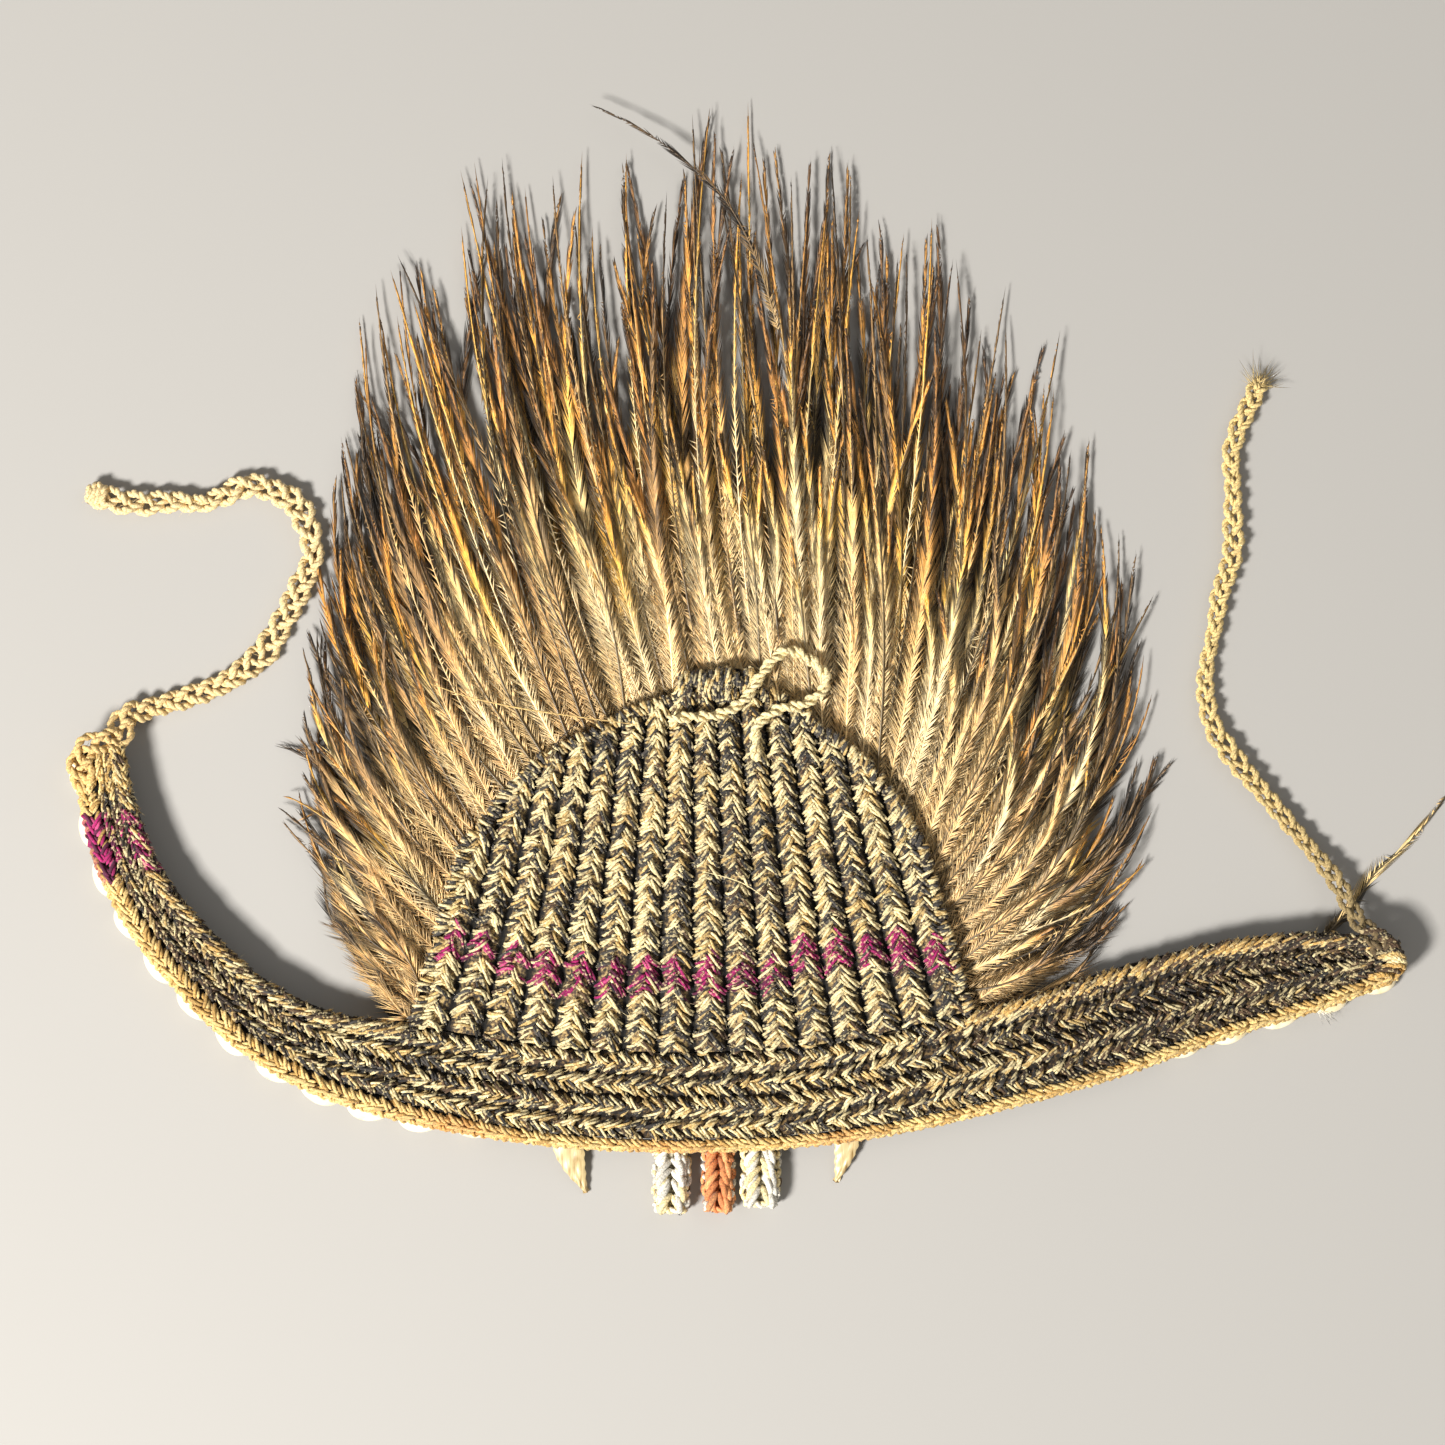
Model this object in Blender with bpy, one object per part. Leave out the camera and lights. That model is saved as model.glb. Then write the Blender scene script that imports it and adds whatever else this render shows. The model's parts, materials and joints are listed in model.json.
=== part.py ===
# Looped-fibre feathered headdress, lying face down with its back up.
# Metres, +Z up. +Y runs towards the feather tips, +X along the headband.
# The origin is at the middle of its box, on the surface that it lies on.
import math

import bmesh
import bpy
from mathutils import Vector

# Overall places
BAND_MID_X = -0.0075     # middle of the headband's span
BAND_MID_Y = -0.1597     # the headband's centre line at its lowest
CREST_MID_X = -0.0084    # middle of the spread of feathers
PANEL_MID_X = -0.0235    # middle of the cap panel's foot
PANEL_FOOT_Y = -0.1420   # level from which the panel's height is measured

# Clearances
GAP = 0.0003             # between pieces that touch
SHELL_CLEAR = 0.0012     # between neighbouring shells
FOOT_CLEAR = 0.0006      # between the panel's foot and the headband

# Headband
BAND_SPAN = 0.4770
BAND_RISE = 0.1270       # how far its left end stands above its middle
BAND_WIDTH = 0.0360
BAND_CLOTH = 0.0032      # cloth in the furrows
BAND_RIDGE = 0.0018      # height of a ridge of stitches above the furrows
BAND_RIDGES = 4
BAND_STEPS = 46
BAND_ROUNDING = 0.0012   # how far the cloth's edges are rounded down

# Natural edging along the headband's lower rim
EDGING_WIDTH = 0.0078
EDGING_THICK = 0.0036

# Cowrie shells under the lower rim
SHELL_LENGTH = 0.0166
SHELL_WIDTH = 0.0115
SHELL_HEIGHT = 0.0070
SHELL_SETBACK = 0.0125   # from the rim to a shell's middle where the rim hides it
SHELL_SIDES = 10

# How finely curves are followed
CURVE_STEPS = 600        # straight steps that a curve is measured with
BAND_SAMPLE = 0.01       # step in the band's table for its direction
EDGE_SAMPLE = 0.02       # share of the panel's edge for its direction
PLACE_TRIES = 40         # halvings to find a place in the band's table
SIDE_STEPS = 8           # steps up each side of the panel

# Cap panel
PANEL_WIDTH = 0.2080
PANEL_HEIGHT = 0.1300
PANEL_CLOTH = 0.0026
PANEL_RIB = 0.0030       # height of a rib above the grooves
RIBS = 16
FAN_RADIUS = 0.3640      # from the foot to the point where the ribs would meet
STUB_HEIGHT = 0.0080     # gathered stub at the panel's top
PANEL_STEPS = 9

# Feather crest
CREST_WIDTH = 0.3310
CREST_HEIGHT = 0.3425
CREST_PILE = 0.0145      # height of the pile of feathers at its thickest
CREST_EDGE = 0.0030      # how far a lock's sides fall below its crown
LOCKS = 28
BACKING_INSET = 0.0030   # from the panel's edge to the backing strip
BACKING_DEPTH = 0.0080
BACKING_LIFT = 0.0012    # from the surface to the backing strip
LOCK_CLEAR = 0.0012      # from the panel's edge to where a lock may rise
LOCK_FILL = 0.93         # share of its place that a lock fills

# Teeth, tabs and the loose feather
TOOTH_THICK = 0.0018
TOOTH_TUCK = 0.0040      # how far a tooth runs under the edging
TAB_LENGTH = 0.0228
TAB_THICK = 0.0084
FEATHER_LENGTH = 0.0760
FEATHER_TUCK = 0.0060    # how far it runs under the headband
FEATHER_WIDTH = 0.0048
FEATHER_THICK = 0.0009

# Cords
CORD_STEP = 2.0          # diameters between two rings of a cord
CORD_LEAST_STEPS = 12
TIE_LEFT_DIAMETER = 0.0090
TIE_RIGHT_DIAMETER = 0.0070
LOOP_DIAMETER = 0.0046
CORD_SIDES = 2           # bevel resolution: eight sides

BAND_UNDER = SHELL_HEIGHT + GAP
PANEL_UNDER = BAND_UNDER
TOP_OF_BACKING = PANEL_UNDER - GAP

# Columns: place along the half span, rise, width, edging's width, shells' setback.
BAND_TABLE = (
    (-0.962, 1.000, 0.50, 1.00, 0.16),
    (-0.950, 0.853, 0.54, 1.00, 0.16),
    (-0.923, 0.683, 0.58, 1.00, 0.16),
    (-0.879, 0.535, 0.62, 1.00, 0.16),
    (-0.823, 0.408, 0.66, 1.00, 0.16),
    (-0.739, 0.258, 0.71, 1.00, 0.16),
    (-0.630, 0.144, 0.82, 0.95, 0.16),
    (-0.506, 0.085, 0.94, 0.85, 0.16),
    (-0.389, 0.045, 0.96, 0.65, 0.30),
    (-0.268, 0.015, 0.97, 0.52, 0.90),
    (-0.147, 0.002, 0.97, 0.50, 1.00),
    (-0.057, 0.000, 0.97, 0.50, 1.00),
    (0.064, 0.010, 0.97, 0.50, 1.00),
    (0.185, 0.037, 0.98, 0.50, 1.00),
    (0.321, 0.093, 1.01, 0.50, 1.00),
    (0.457, 0.160, 1.02, 0.50, 1.00),
    (0.547, 0.212, 1.03, 0.50, 0.80),
    (0.638, 0.268, 1.00, 0.50, 0.30),
    (0.743, 0.325, 0.92, 0.52, 0.16),
    (0.849, 0.365, 0.80, 0.55, 0.16),
    (0.925, 0.388, 0.62, 0.60, 0.16),
    (0.997, 0.405, 0.36, 0.60, 0.16),
)

BAND_LAST = len(BAND_TABLE) - 1

# Columns: place across the edging, height in it.
EDGING_SECTION = ((0.0, 0.5), (0.25, 1.0), (0.80, 1.0), (1.0, 0.5), (0.80, 0.0), (0.20, 0.0))

# Columns: height in the shell, size of the ring there.
SHELL_RINGS = ((0.0, 0.62), (0.16, 0.88), (0.46, 1.0), (0.76, 0.90), (1.0, 0.58))
SHELL_BLUNTNESS = 0.10   # how much wider one end is

# Heights across one rib, from groove to groove.
RIB_HEIGHTS = (0.0, 0.80, 1.0, 0.80)

# Columns: place across the fan, height of the panel's top edge.
DOME_TABLE = (
    (-1.000, 0.572),
    (-0.875, 0.724),
    (-0.750, 0.812),
    (-0.500, 0.895),
    (-0.250, 0.956),
    (0.000, 0.990),
    (0.250, 1.000),
    (0.500, 0.978),
    (0.750, 0.858),
    (0.875, 0.785),
    (1.000, 0.619),
)
# The stub's place across the fan, and along the panel's edge.
STUB_FROM, STUB_TO = -0.07, 0.37
STUB_LOCKS = (0.42, 0.66)
MOST_REACH = 0.45        # the most of a stream that lies flat under the panel

# Columns: place along the panel's edge, then across and up for the bend of that
# stream of feathers, then across and up for its tips.
CREST_TABLE = (
    (0.00, -0.77, 0.08, -0.83, 0.13),
    (0.05, -0.83, 0.17, -0.95, 0.22),
    (0.10, -0.86, 0.26, -0.99, 0.33),
    (0.16, -0.84, 0.37, -0.93, 0.46),
    (0.22, -0.80, 0.44, -0.87, 0.60),
    (0.28, -0.74, 0.50, -0.84, 0.72),
    (0.34, -0.64, 0.57, -0.71, 0.84),
    (0.40, -0.51, 0.62, -0.56, 0.92),
    (0.46, -0.36, 0.64, -0.41, 0.91),
    (0.50, -0.23, 0.64, -0.25, 0.95),
    (0.55, -0.10, 0.64, -0.08, 0.997),
    (0.60, 0.04, 0.63, 0.07, 0.97),
    (0.65, 0.17, 0.61, 0.22, 0.97),
    (0.70, 0.29, 0.57, 0.33, 0.88),
    (0.75, 0.41, 0.52, 0.46, 0.90),
    (0.80, 0.54, 0.47, 0.61, 0.76),
    (0.84, 0.64, 0.41, 0.74, 0.73),
    (0.88, 0.72, 0.34, 0.83, 0.58),
    (0.91, 0.78, 0.28, 0.92, 0.47),
    (0.94, 0.80, 0.20, 0.97, 0.36),
    (0.97, 0.77, 0.13, 0.92, 0.23),
    (1.00, 0.68, 0.07, 0.84, 0.14),
)
# Columns: place along a lock, its width, its crown's height in the pile.
LOCK_TABLE = (
    (0.10, 1.00, 0.84),
    (0.24, 1.00, 1.00),
    (0.42, 1.00, 0.96),
    (0.60, 0.96, 0.80),
    (0.78, 0.80, 0.56),
    (0.91, 0.46, 0.36),
    (1.00, 0.07, 0.20),
)
# How long one lock after another is, as a share of its stream.
LOCK_LENGTHS = (0.91, 1.00, 0.93, 0.88, 1.00, 0.96, 0.90)

# Teeth: name, place along the band, root's width, length, how far the tip leans.
TEETH = (
    ("tooth_left", -0.251, 0.0119, 0.0176, 0.0068),
    ("tooth_right", 0.156, 0.0094, 0.0160, -0.0043),
)
# Columns: place along the tooth, its width.
TOOTH_OUTLINE = ((0.0, 1.0), (0.35, 0.90), (0.65, 0.62), (0.88, 0.28), (1.0, 0.05))
# Columns: place across the tooth, height in it.
TOOTH_SECTION = ((-1.0, 0.5), (-0.5, 1.0), (0.5, 1.0), (1.0, 0.5), (0.5, 0.0), (-0.5, 0.0))
# Tabs: name, place along the band, width, length share.
TABS = (
    ("tab_left", -0.099, 0.0137, 1.00),
    ("tab_middle", -0.031, 0.0116, 0.99),
    ("tab_right", 0.031, 0.0144, 0.93),
)
# Columns: place along the tab, its width, its thickness.
TAB_OUTLINE = (
    (0.0, 0.86, 1.12),
    (0.12, 1.0, 1.0),
    (0.32, 0.86, 0.88),
    (0.50, 1.0, 1.0),
    (0.68, 0.86, 0.88),
    (0.86, 0.96, 0.96),
    (1.0, 0.66, 0.60),
)
# Columns: place across the tab, height in it.
TAB_SECTION = ((-1.0, 0.30), (-1.0, 0.70), (-0.62, 1.0), (0.0, 0.86), (0.62, 1.0), (1.0, 0.70),
               (1.0, 0.30), (0.7, 0.0), (-0.7, 0.0))

FEATHER_PLACE = 0.890    # where the loose feather lies along the band
# Columns: place along the feather, how far right, how far up, width, height.
FEATHER_OUTLINE = (
    (0.0, 0.0, 0.0, 0.16, 1.0),
    (0.08, 0.054, 0.057, 0.20, 0.98),
    (0.26, 0.190, 0.204, 0.55, 0.44),
    (0.42, 0.280, 0.335, 0.92, 0.12),
    (0.58, 0.404, 0.445, 1.0, 0.0),
    (0.75, 0.522, 0.568, 1.0, 0.0),
    (0.90, 0.608, 0.700, 0.80, 0.0),
    (1.0, 0.655, 0.767, 0.12, 0.0),
)

# Routes, in metres. They are hand-laid, so their points are a plain list.
TIE_LEFT_ROUTE = (
    (-0.2326, -0.0281, 0.0098), (-0.2318, -0.0250, 0.0094), (-0.2288, -0.0220, 0.0080),
    (-0.2216, -0.0190, 0.0058), (-0.2121, -0.0162, 0.0046), (-0.2014, -0.0128, 0.0046),
    (-0.1927, -0.0092, 0.0046), (-0.1852, -0.0041, 0.0046), (-0.1780, 0.0020, 0.0046),
    (-0.1729, 0.0106, 0.0046), (-0.1675, 0.0203, 0.0046), (-0.1639, 0.0283, 0.0046),
    (-0.1610, 0.0344, 0.0046), (-0.1610, 0.0416, 0.0046), (-0.1632, 0.0488, 0.0046),
    (-0.1668, 0.0556, 0.0046), (-0.1744, 0.0599, 0.0046), (-0.1816, 0.0621, 0.0046),
    (-0.1866, 0.0614, 0.0046), (-0.1927, 0.0585, 0.0046), (-0.2006, 0.0556, 0.0046),
    (-0.2104, 0.0563, 0.0046), (-0.2204, 0.0556, 0.0046), (-0.2302, 0.0563, 0.0046),
    (-0.2396, 0.0592, 0.0046),
)
TIE_RIGHT_ROUTE = (
    (0.2178, -0.0978, 0.0094), (0.2149, -0.0935, 0.0090), (0.2087, -0.0816, 0.0066),
    (0.2018, -0.0722, 0.0047), (0.1936, -0.0625, 0.0036), (0.1867, -0.0542, 0.0036),
    (0.1784, -0.0445, 0.0036), (0.1716, -0.0362, 0.0036), (0.1648, -0.0265, 0.0036),
    (0.1622, -0.0182, 0.0036), (0.1612, -0.0099, 0.0036), (0.1619, -0.0016, 0.0036),
    (0.1640, 0.0077, 0.0036), (0.1655, 0.0160, 0.0036), (0.1666, 0.0232, 0.0036),
    (0.1694, 0.0311, 0.0036), (0.1712, 0.0383, 0.0036), (0.1712, 0.0491, 0.0036),
    (0.1712, 0.0617, 0.0036), (0.1705, 0.0725, 0.0036), (0.1730, 0.0823, 0.0036),
    (0.1777, 0.0920, 0.0036), (0.1806, 0.0988, 0.0036),
)
TOP_LOOP_ROUTE = (
    (-0.0325, -0.0225, 0.0156), (-0.0246, -0.0214, 0.0156), (-0.0167, -0.0211, 0.0156),
    (-0.0102, -0.0189, 0.0156), (-0.0041, -0.0142, 0.0156), (0.0002, -0.0077, 0.0152),
    (0.0049, -0.0013, 0.0146), (0.0107, 0.0024, 0.0143), (0.0168, 0.0002, 0.0143),
    (0.0218, -0.0038, 0.0146), (0.0243, -0.0078, 0.0150), (0.0225, -0.0124, 0.0155),
    (0.0154, -0.0173, 0.0156), (0.0090, -0.0180, 0.0156), (0.0031, -0.0211, 0.0156),
    (-0.0008, -0.0254, 0.0156), (-0.0010, -0.0319, 0.0156), (-0.0008, -0.0376, 0.0156),
)


def clear_scene():
    for thing in list(bpy.data.objects):
        bpy.data.objects.remove(thing, do_unlink=True)


def material(name, colour, roughness):
    made = bpy.data.materials.new(name)
    made.use_nodes = True
    shader = made.node_tree.nodes["Principled BSDF"]
    shader.inputs["Base Color"].default_value = (*colour, 1.0)
    shader.inputs["Roughness"].default_value = roughness
    shader.inputs["Metallic"].default_value = 0.0
    return made


def new_object(name, mesh, finish):
    made = bpy.data.objects.new(name, mesh)
    bpy.context.scene.collection.objects.link(made)
    mesh.materials.clear()
    mesh.materials.append(finish)
    return made


def finish_mesh(shape, name):
    bmesh.ops.recalc_face_normals(shape, faces=shape.faces)
    mesh = bpy.data.meshes.new(name)
    shape.to_mesh(mesh)
    shape.free()
    mesh.shade_smooth()
    mesh.set_sharp_from_angle(angle=math.radians(40))
    return mesh


def mix(first, second, share):
    return first + (second - first) * share


def curve_through(rows, place):
    """Every column of a table at a place among its rows, on a smooth curve."""
    last = len(rows) - 1
    place = min(max(place, 0.0), float(last))
    index = min(int(place), last - 1)
    share = place - index
    before = rows[max(index - 1, 0)]
    after = rows[min(index + 2, last)]
    values = []
    for p0, p1, p2, p3 in zip(before, rows[index], rows[index + 1], after):
        bend = 2 * p0 - 5 * p1 + 4 * p2 - p3
        twist = 3 * p1 - 3 * p2 + p3 - p0
        values.append(p1 + 0.5 * share * ((p2 - p0) + share * (bend + share * twist)))
    return values


def look_up(rows, key):
    """Every column of a table at a value of its first one, on a smooth curve."""
    index = 0
    while index < len(rows) - 2 and key > rows[index + 1][0]:
        index += 1
    width = rows[index + 1][0] - rows[index][0]
    return curve_through(rows, index + (key - rows[index][0]) / width)


def even_places(point_at, last, count):
    """Places from 0 to last that are evenly spaced along a curve."""
    lengths = [0.0]
    before = point_at(0.0)
    for step in range(1, CURVE_STEPS + 1):
        here = point_at(last * step / CURVE_STEPS)
        lengths.append(lengths[-1] + (here - before).length)
        before = here
    places = []
    at = 0
    for step in range(count + 1):
        wanted = lengths[-1] * step / count
        while at < CURVE_STEPS - 1 and lengths[at + 1] < wanted:
            at += 1
        share = (wanted - lengths[at]) / (lengths[at + 1] - lengths[at])
        places.append(last * (at + min(share, 1.0)) / CURVE_STEPS)
    return places, lengths[-1]


def band_centre(place):
    row = curve_through(BAND_TABLE, place)
    return Vector((BAND_MID_X + row[0] * BAND_SPAN / 2, BAND_MID_Y + row[1] * BAND_RISE))


def band_section(place):
    """Centre, direction towards the upper rim, half width, edging and setback."""
    row = curve_through(BAND_TABLE, place)
    along = band_centre(min(place + BAND_SAMPLE, BAND_LAST)) - band_centre(max(place - BAND_SAMPLE, 0))
    along.normalize()
    across = Vector((-along.y, along.x))
    return band_centre(place), across, row[2] * BAND_WIDTH / 2, row[3] * EDGING_WIDTH, row[4]


def rim_point(place, inward=0.0):
    centre, across, half, _, _ = band_section(place)
    return centre - across * (half - inward)


def upper_rim_point(place):
    centre, across, half, _, _ = band_section(place)
    return centre + across * half


def band_place(share):
    """The table's place for a share of the half span."""
    low, high = 0.0, float(BAND_LAST)
    for _ in range(PLACE_TRIES):
        middle = (low + high) / 2
        if curve_through(BAND_TABLE, middle)[0] < share:
            low = middle
        else:
            high = middle
    return (low + high) / 2


def bridge_rings(shape, rings, closed=False):
    """Join rings of vertices into a skin, with flat ends unless it closes."""
    pairs = list(zip(rings, rings[1:]))
    if closed:
        pairs.append((rings[-1], rings[0]))
    for first, second in pairs:
        for index in range(len(first)):
            after = (index + 1) % len(first)
            shape.faces.new((first[index], first[after], second[after], second[index]))
    if not closed:
        shape.faces.new(list(reversed(rings[0])))
        shape.faces.new(rings[-1])


def ribbon(name, sections):
    """A solid through sections that are lists of corners."""
    shape = bmesh.new()
    rings = [[shape.verts.new(corner) for corner in section] for section in sections]
    bridge_rings(shape, rings)
    return finish_mesh(shape, name)


def build_headband(finish):
    places, _ = even_places(band_centre, BAND_LAST, BAND_STEPS)
    furrow = BAND_UNDER + BAND_CLOTH
    sections = []
    for place in places:
        centre, across, half, edging, _ = band_section(place)
        low = -half + edging + GAP
        corners = [centre + across * low, centre + across * half]
        section = [(*corners[0], BAND_UNDER + BAND_ROUNDING), (*corners[0], furrow)]
        steps = 2 * BAND_RIDGES
        for step in range(1, steps):
            point = centre + across * mix(low, half, step / steps)
            ridge = BAND_RIDGE if step % 2 else 0.0
            section.append((*point, furrow + ridge))
        section.append((*corners[1], furrow))
        section.append((*corners[1], BAND_UNDER + BAND_ROUNDING))
        inner = centre + across * (half - BAND_ROUNDING)
        outer = centre + across * (low + BAND_ROUNDING)
        section.append((*inner, BAND_UNDER))
        section.append((*outer, BAND_UNDER))
        sections.append(section)
    return new_object("headband", ribbon("headband", sections), finish)


def build_edging(finish):
    places, _ = even_places(band_centre, BAND_LAST, BAND_STEPS)
    sections = []
    for place in places:
        centre, across, half, edging, _ = band_section(place)
        outer = centre - across * half
        section = []
        for share, height in EDGING_SECTION:
            section.append((*(outer + across * edging * share), BAND_UNDER + EDGING_THICK * height))
        sections.append(section)
    return new_object("lower_edging", ribbon("lower_edging", sections), finish)


def shell_mesh():
    """A cowrie, flat where it was cut and on its open side."""
    shape = bmesh.new()
    rings = []
    for height, size in SHELL_RINGS:
        ring = []
        for side in range(SHELL_SIDES):
            angle = 2 * math.pi * side / SHELL_SIDES
            wide = 1.0 + SHELL_BLUNTNESS * math.cos(angle)
            x = SHELL_LENGTH / 2 * math.cos(angle) * size
            y = SHELL_WIDTH / 2 * math.sin(angle) * size * wide
            ring.append(shape.verts.new((x, y, SHELL_HEIGHT * height)))
        rings.append(ring)
    bridge_rings(shape, rings)
    return finish_mesh(shape, "cowrie")


def build_cowries(finish):
    _, rim_length = even_places(rim_point, BAND_LAST, 1)
    count = int((rim_length - SHELL_LENGTH) / (SHELL_LENGTH + SHELL_CLEAR))
    mesh = shell_mesh()

    def shell_point(place):
        return rim_point(place, band_section(place)[4] * SHELL_SETBACK)

    places, _ = even_places(shell_point, BAND_LAST, 2 * count)
    for number in range(count):
        place = places[2 * number + 1]
        point = shell_point(place)
        _, across, _, _, _ = band_section(place)
        shell = new_object(f"cowrie_{number + 1:02d}", mesh, finish)
        shell.location = (*point, 0.0)
        shell.rotation_euler = (0.0, 0.0, math.atan2(across.y, across.x) - math.pi / 2)


def fan_centre():
    return Vector((PANEL_MID_X, PANEL_FOOT_Y + FAN_RADIUS))


def fan_direction(share):
    slope = share * math.atan2(PANEL_WIDTH / 2, FAN_RADIUS)
    return Vector((math.sin(slope), -math.cos(slope)))


def panel_top(share, with_stub=True):
    height = look_up(DOME_TABLE, share)[1] * PANEL_HEIGHT
    if with_stub and STUB_FROM < share < STUB_TO:
        height += STUB_HEIGHT
    direction = fan_direction(share)
    reach = (FAN_RADIUS - height) / -direction.y
    return fan_centre() + direction * reach


def panel_foot(share, rim):
    """Where a line of the fan meets the headband's upper rim."""
    centre = fan_centre()
    direction = fan_direction(share)
    for first, second in zip(rim, rim[1:]):
        edge = second - first
        crossing = direction.x * edge.y - direction.y * edge.x
        offset = first - centre
        reach = (offset.x * edge.y - offset.y * edge.x) / crossing
        along = (offset.x * direction.y - offset.y * direction.x) / crossing
        if reach > 0 and -0.001 <= along <= 1.001:
            return centre + direction * (reach - FOOT_CLEAR)
    raise ValueError("the panel's foot misses the headband")


def headband_rim():
    places, _ = even_places(band_centre, BAND_LAST, BAND_STEPS)
    return [upper_rim_point(place) for place in places]


def build_panel(finish):
    rim = headband_rim()
    shape = bmesh.new()
    columns = []
    across_steps = 4 * RIBS
    for step in range(across_steps + 1):
        share = 2 * step / across_steps - 1
        foot = panel_foot(share, rim)
        top = panel_top(share)
        rib = PANEL_UNDER + PANEL_CLOTH + PANEL_RIB * RIB_HEIGHTS[step % 4]
        column = []
        for row in range(PANEL_STEPS + 1):
            point = foot.lerp(top, row / PANEL_STEPS)
            column.append(shape.verts.new((*point, rib)))
        columns.append(column)
    for left, right in zip(columns, columns[1:]):
        for row in range(PANEL_STEPS):
            shape.faces.new((left[row], right[row], right[row + 1], left[row + 1]))
    border = [column[0] for column in columns]
    border += columns[-1][1:]
    border += [column[-1] for column in reversed(columns[:-1])]
    border += list(reversed(columns[0][1:-1]))
    under = [shape.verts.new((corner.co.x, corner.co.y, PANEL_UNDER)) for corner in border]
    for index in range(len(border)):
        after = (index + 1) % len(border)
        shape.faces.new((border[index], under[index], under[after], border[after]))
    shape.faces.new(under)
    return new_object("cap_panel", finish_mesh(shape, "cap_panel"), finish)


def panel_edge():
    """The panel's free edge, from its left foot over the top to its right foot."""
    rim = headband_rim()
    shares = [step / SIDE_STEPS for step in range(SIDE_STEPS)]
    left = [panel_foot(-1.0, rim).lerp(panel_top(-1.0, False), share) for share in shares]
    top_steps = 2 * RIBS
    top = [panel_top(2 * s / top_steps - 1, False) for s in range(top_steps + 1)]
    shares = [(step + 1) / SIDE_STEPS for step in range(SIDE_STEPS)]
    right = [panel_top(1.0, False).lerp(panel_foot(1.0, rim), share) for share in shares]
    return left + top + right


def crest_root(edge, share):
    """A point of the backing's outer side, and the way out of the panel there."""
    lengths = [0.0]
    for first, second in zip(edge, edge[1:]):
        lengths.append(lengths[-1] + (second - first).length)

    def at(portion):
        wanted = min(max(portion, 0.0), 1.0) * lengths[-1]
        index = 0
        while index < len(edge) - 2 and lengths[index + 1] < wanted:
            index += 1
        span = lengths[index + 1] - lengths[index]
        return edge[index].lerp(edge[index + 1], (wanted - lengths[index]) / span)

    along = at(share + EDGE_SAMPLE) - at(share - EDGE_SAMPLE)
    along.normalize()
    outward = Vector((-along.y, along.x))
    return at(share) - outward * BACKING_INSET, outward


def crest_stream(edge, share):
    root, outward = crest_root(edge, share)
    row = look_up(CREST_TABLE, share)
    bend = Vector((CREST_MID_X + row[1] * CREST_WIDTH / 2, PANEL_FOOT_Y + row[2] * CREST_HEIGHT))
    tip = Vector((CREST_MID_X + row[3] * CREST_WIDTH / 2, PANEL_FOOT_Y + row[4] * CREST_HEIGHT))
    return root, outward, bend, tip


def lock_reach(share):
    """How far from its root a lock may start to rise: past the panel or its stub."""
    reach = BACKING_INSET + LOCK_CLEAR
    if STUB_LOCKS[0] < share < STUB_LOCKS[1]:
        reach += STUB_HEIGHT
    return reach


def stream_point(stream, share):
    root, _, bend, tip = stream
    first = root.lerp(bend, share)
    return first.lerp(bend.lerp(tip, share), share)


def build_crest(finish):
    """Locks of feathers that grow out of the outer side of one backing strip."""
    edge = panel_edge()
    shape = bmesh.new()
    backing = []
    for number in range(LOCKS):
        start = number / LOCKS
        side = (1 - LOCK_FILL) / 2 / LOCKS
        shares = (start + side, start + 0.5 / LOCKS, start + 1 / LOCKS - side)
        streams = [crest_stream(edge, share) for share in shares]
        stations = []
        for root, outward, _, _ in streams:
            inner = root - outward * BACKING_DEPTH
            station = []
            for point, height in ((root, BACKING_LIFT), (root, TOP_OF_BACKING),
                                  (inner, TOP_OF_BACKING), (inner, BACKING_LIFT)):
                station.append(shape.verts.new((*point, height)))
            stations.append(station)
        backing.append(stations)
        length = LOCK_LENGTHS[number % len(LOCK_LENGTHS)]
        left, middle, right = stations
        ring = [left[0], left[1], middle[1], right[1], right[0], middle[0]]
        rings = [ring]
        reaches = [lock_reach(share) for share in shares]
        corners = [stream[0] + stream[1] * reach for stream, reach in zip(streams, reaches)]
        rings.append(lock_ring(shape, corners, 0.0, TOP_OF_BACKING, TOP_OF_BACKING))
        for place, width, crown in LOCK_TABLE:
            sides = []
            for stream, reach in zip(streams, reaches):
                start_share = min(reach / 2 / (stream[2] - stream[0]).length, MOST_REACH)
                sides.append(stream_point(stream, mix(start_share, length, place)))
            middle_point = sides[1]
            corners = [middle_point.lerp(sides[0], width), middle_point, middle_point.lerp(sides[2], width)]
            top = crown * CREST_PILE
            rings.append(lock_ring(shape, corners, 0.0, top, max(top - CREST_EDGE * width, top / 3)))
        for first, second in zip(rings, rings[1:]):
            for index in range(6):
                after = (index + 1) % 6
                shape.faces.new((first[index], first[after], second[after], second[index]))
        shape.faces.new(rings[-1])
    runs = [station for stations in backing for station in stations]
    for index, (first, second) in enumerate(zip(runs, runs[1:])):
        between_locks = index % 3 == 2
        for corner in range(4):
            if corner == 0 and not between_locks:
                continue
            after = (corner + 1) % 4
            shape.faces.new((first[corner], first[after], second[after], second[corner]))
    shape.faces.new(runs[0])
    shape.faces.new(list(reversed(runs[-1])))
    return new_object("feather_crest", finish_mesh(shape, "feather_crest"), finish)


def lock_ring(shape, corners, low, crown, side):
    left, middle, right = corners
    places = ((left, low), (left, side), (middle, crown), (right, side), (right, low), (middle, low))
    return [shape.verts.new((*point, height)) for point, height in places]


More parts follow.
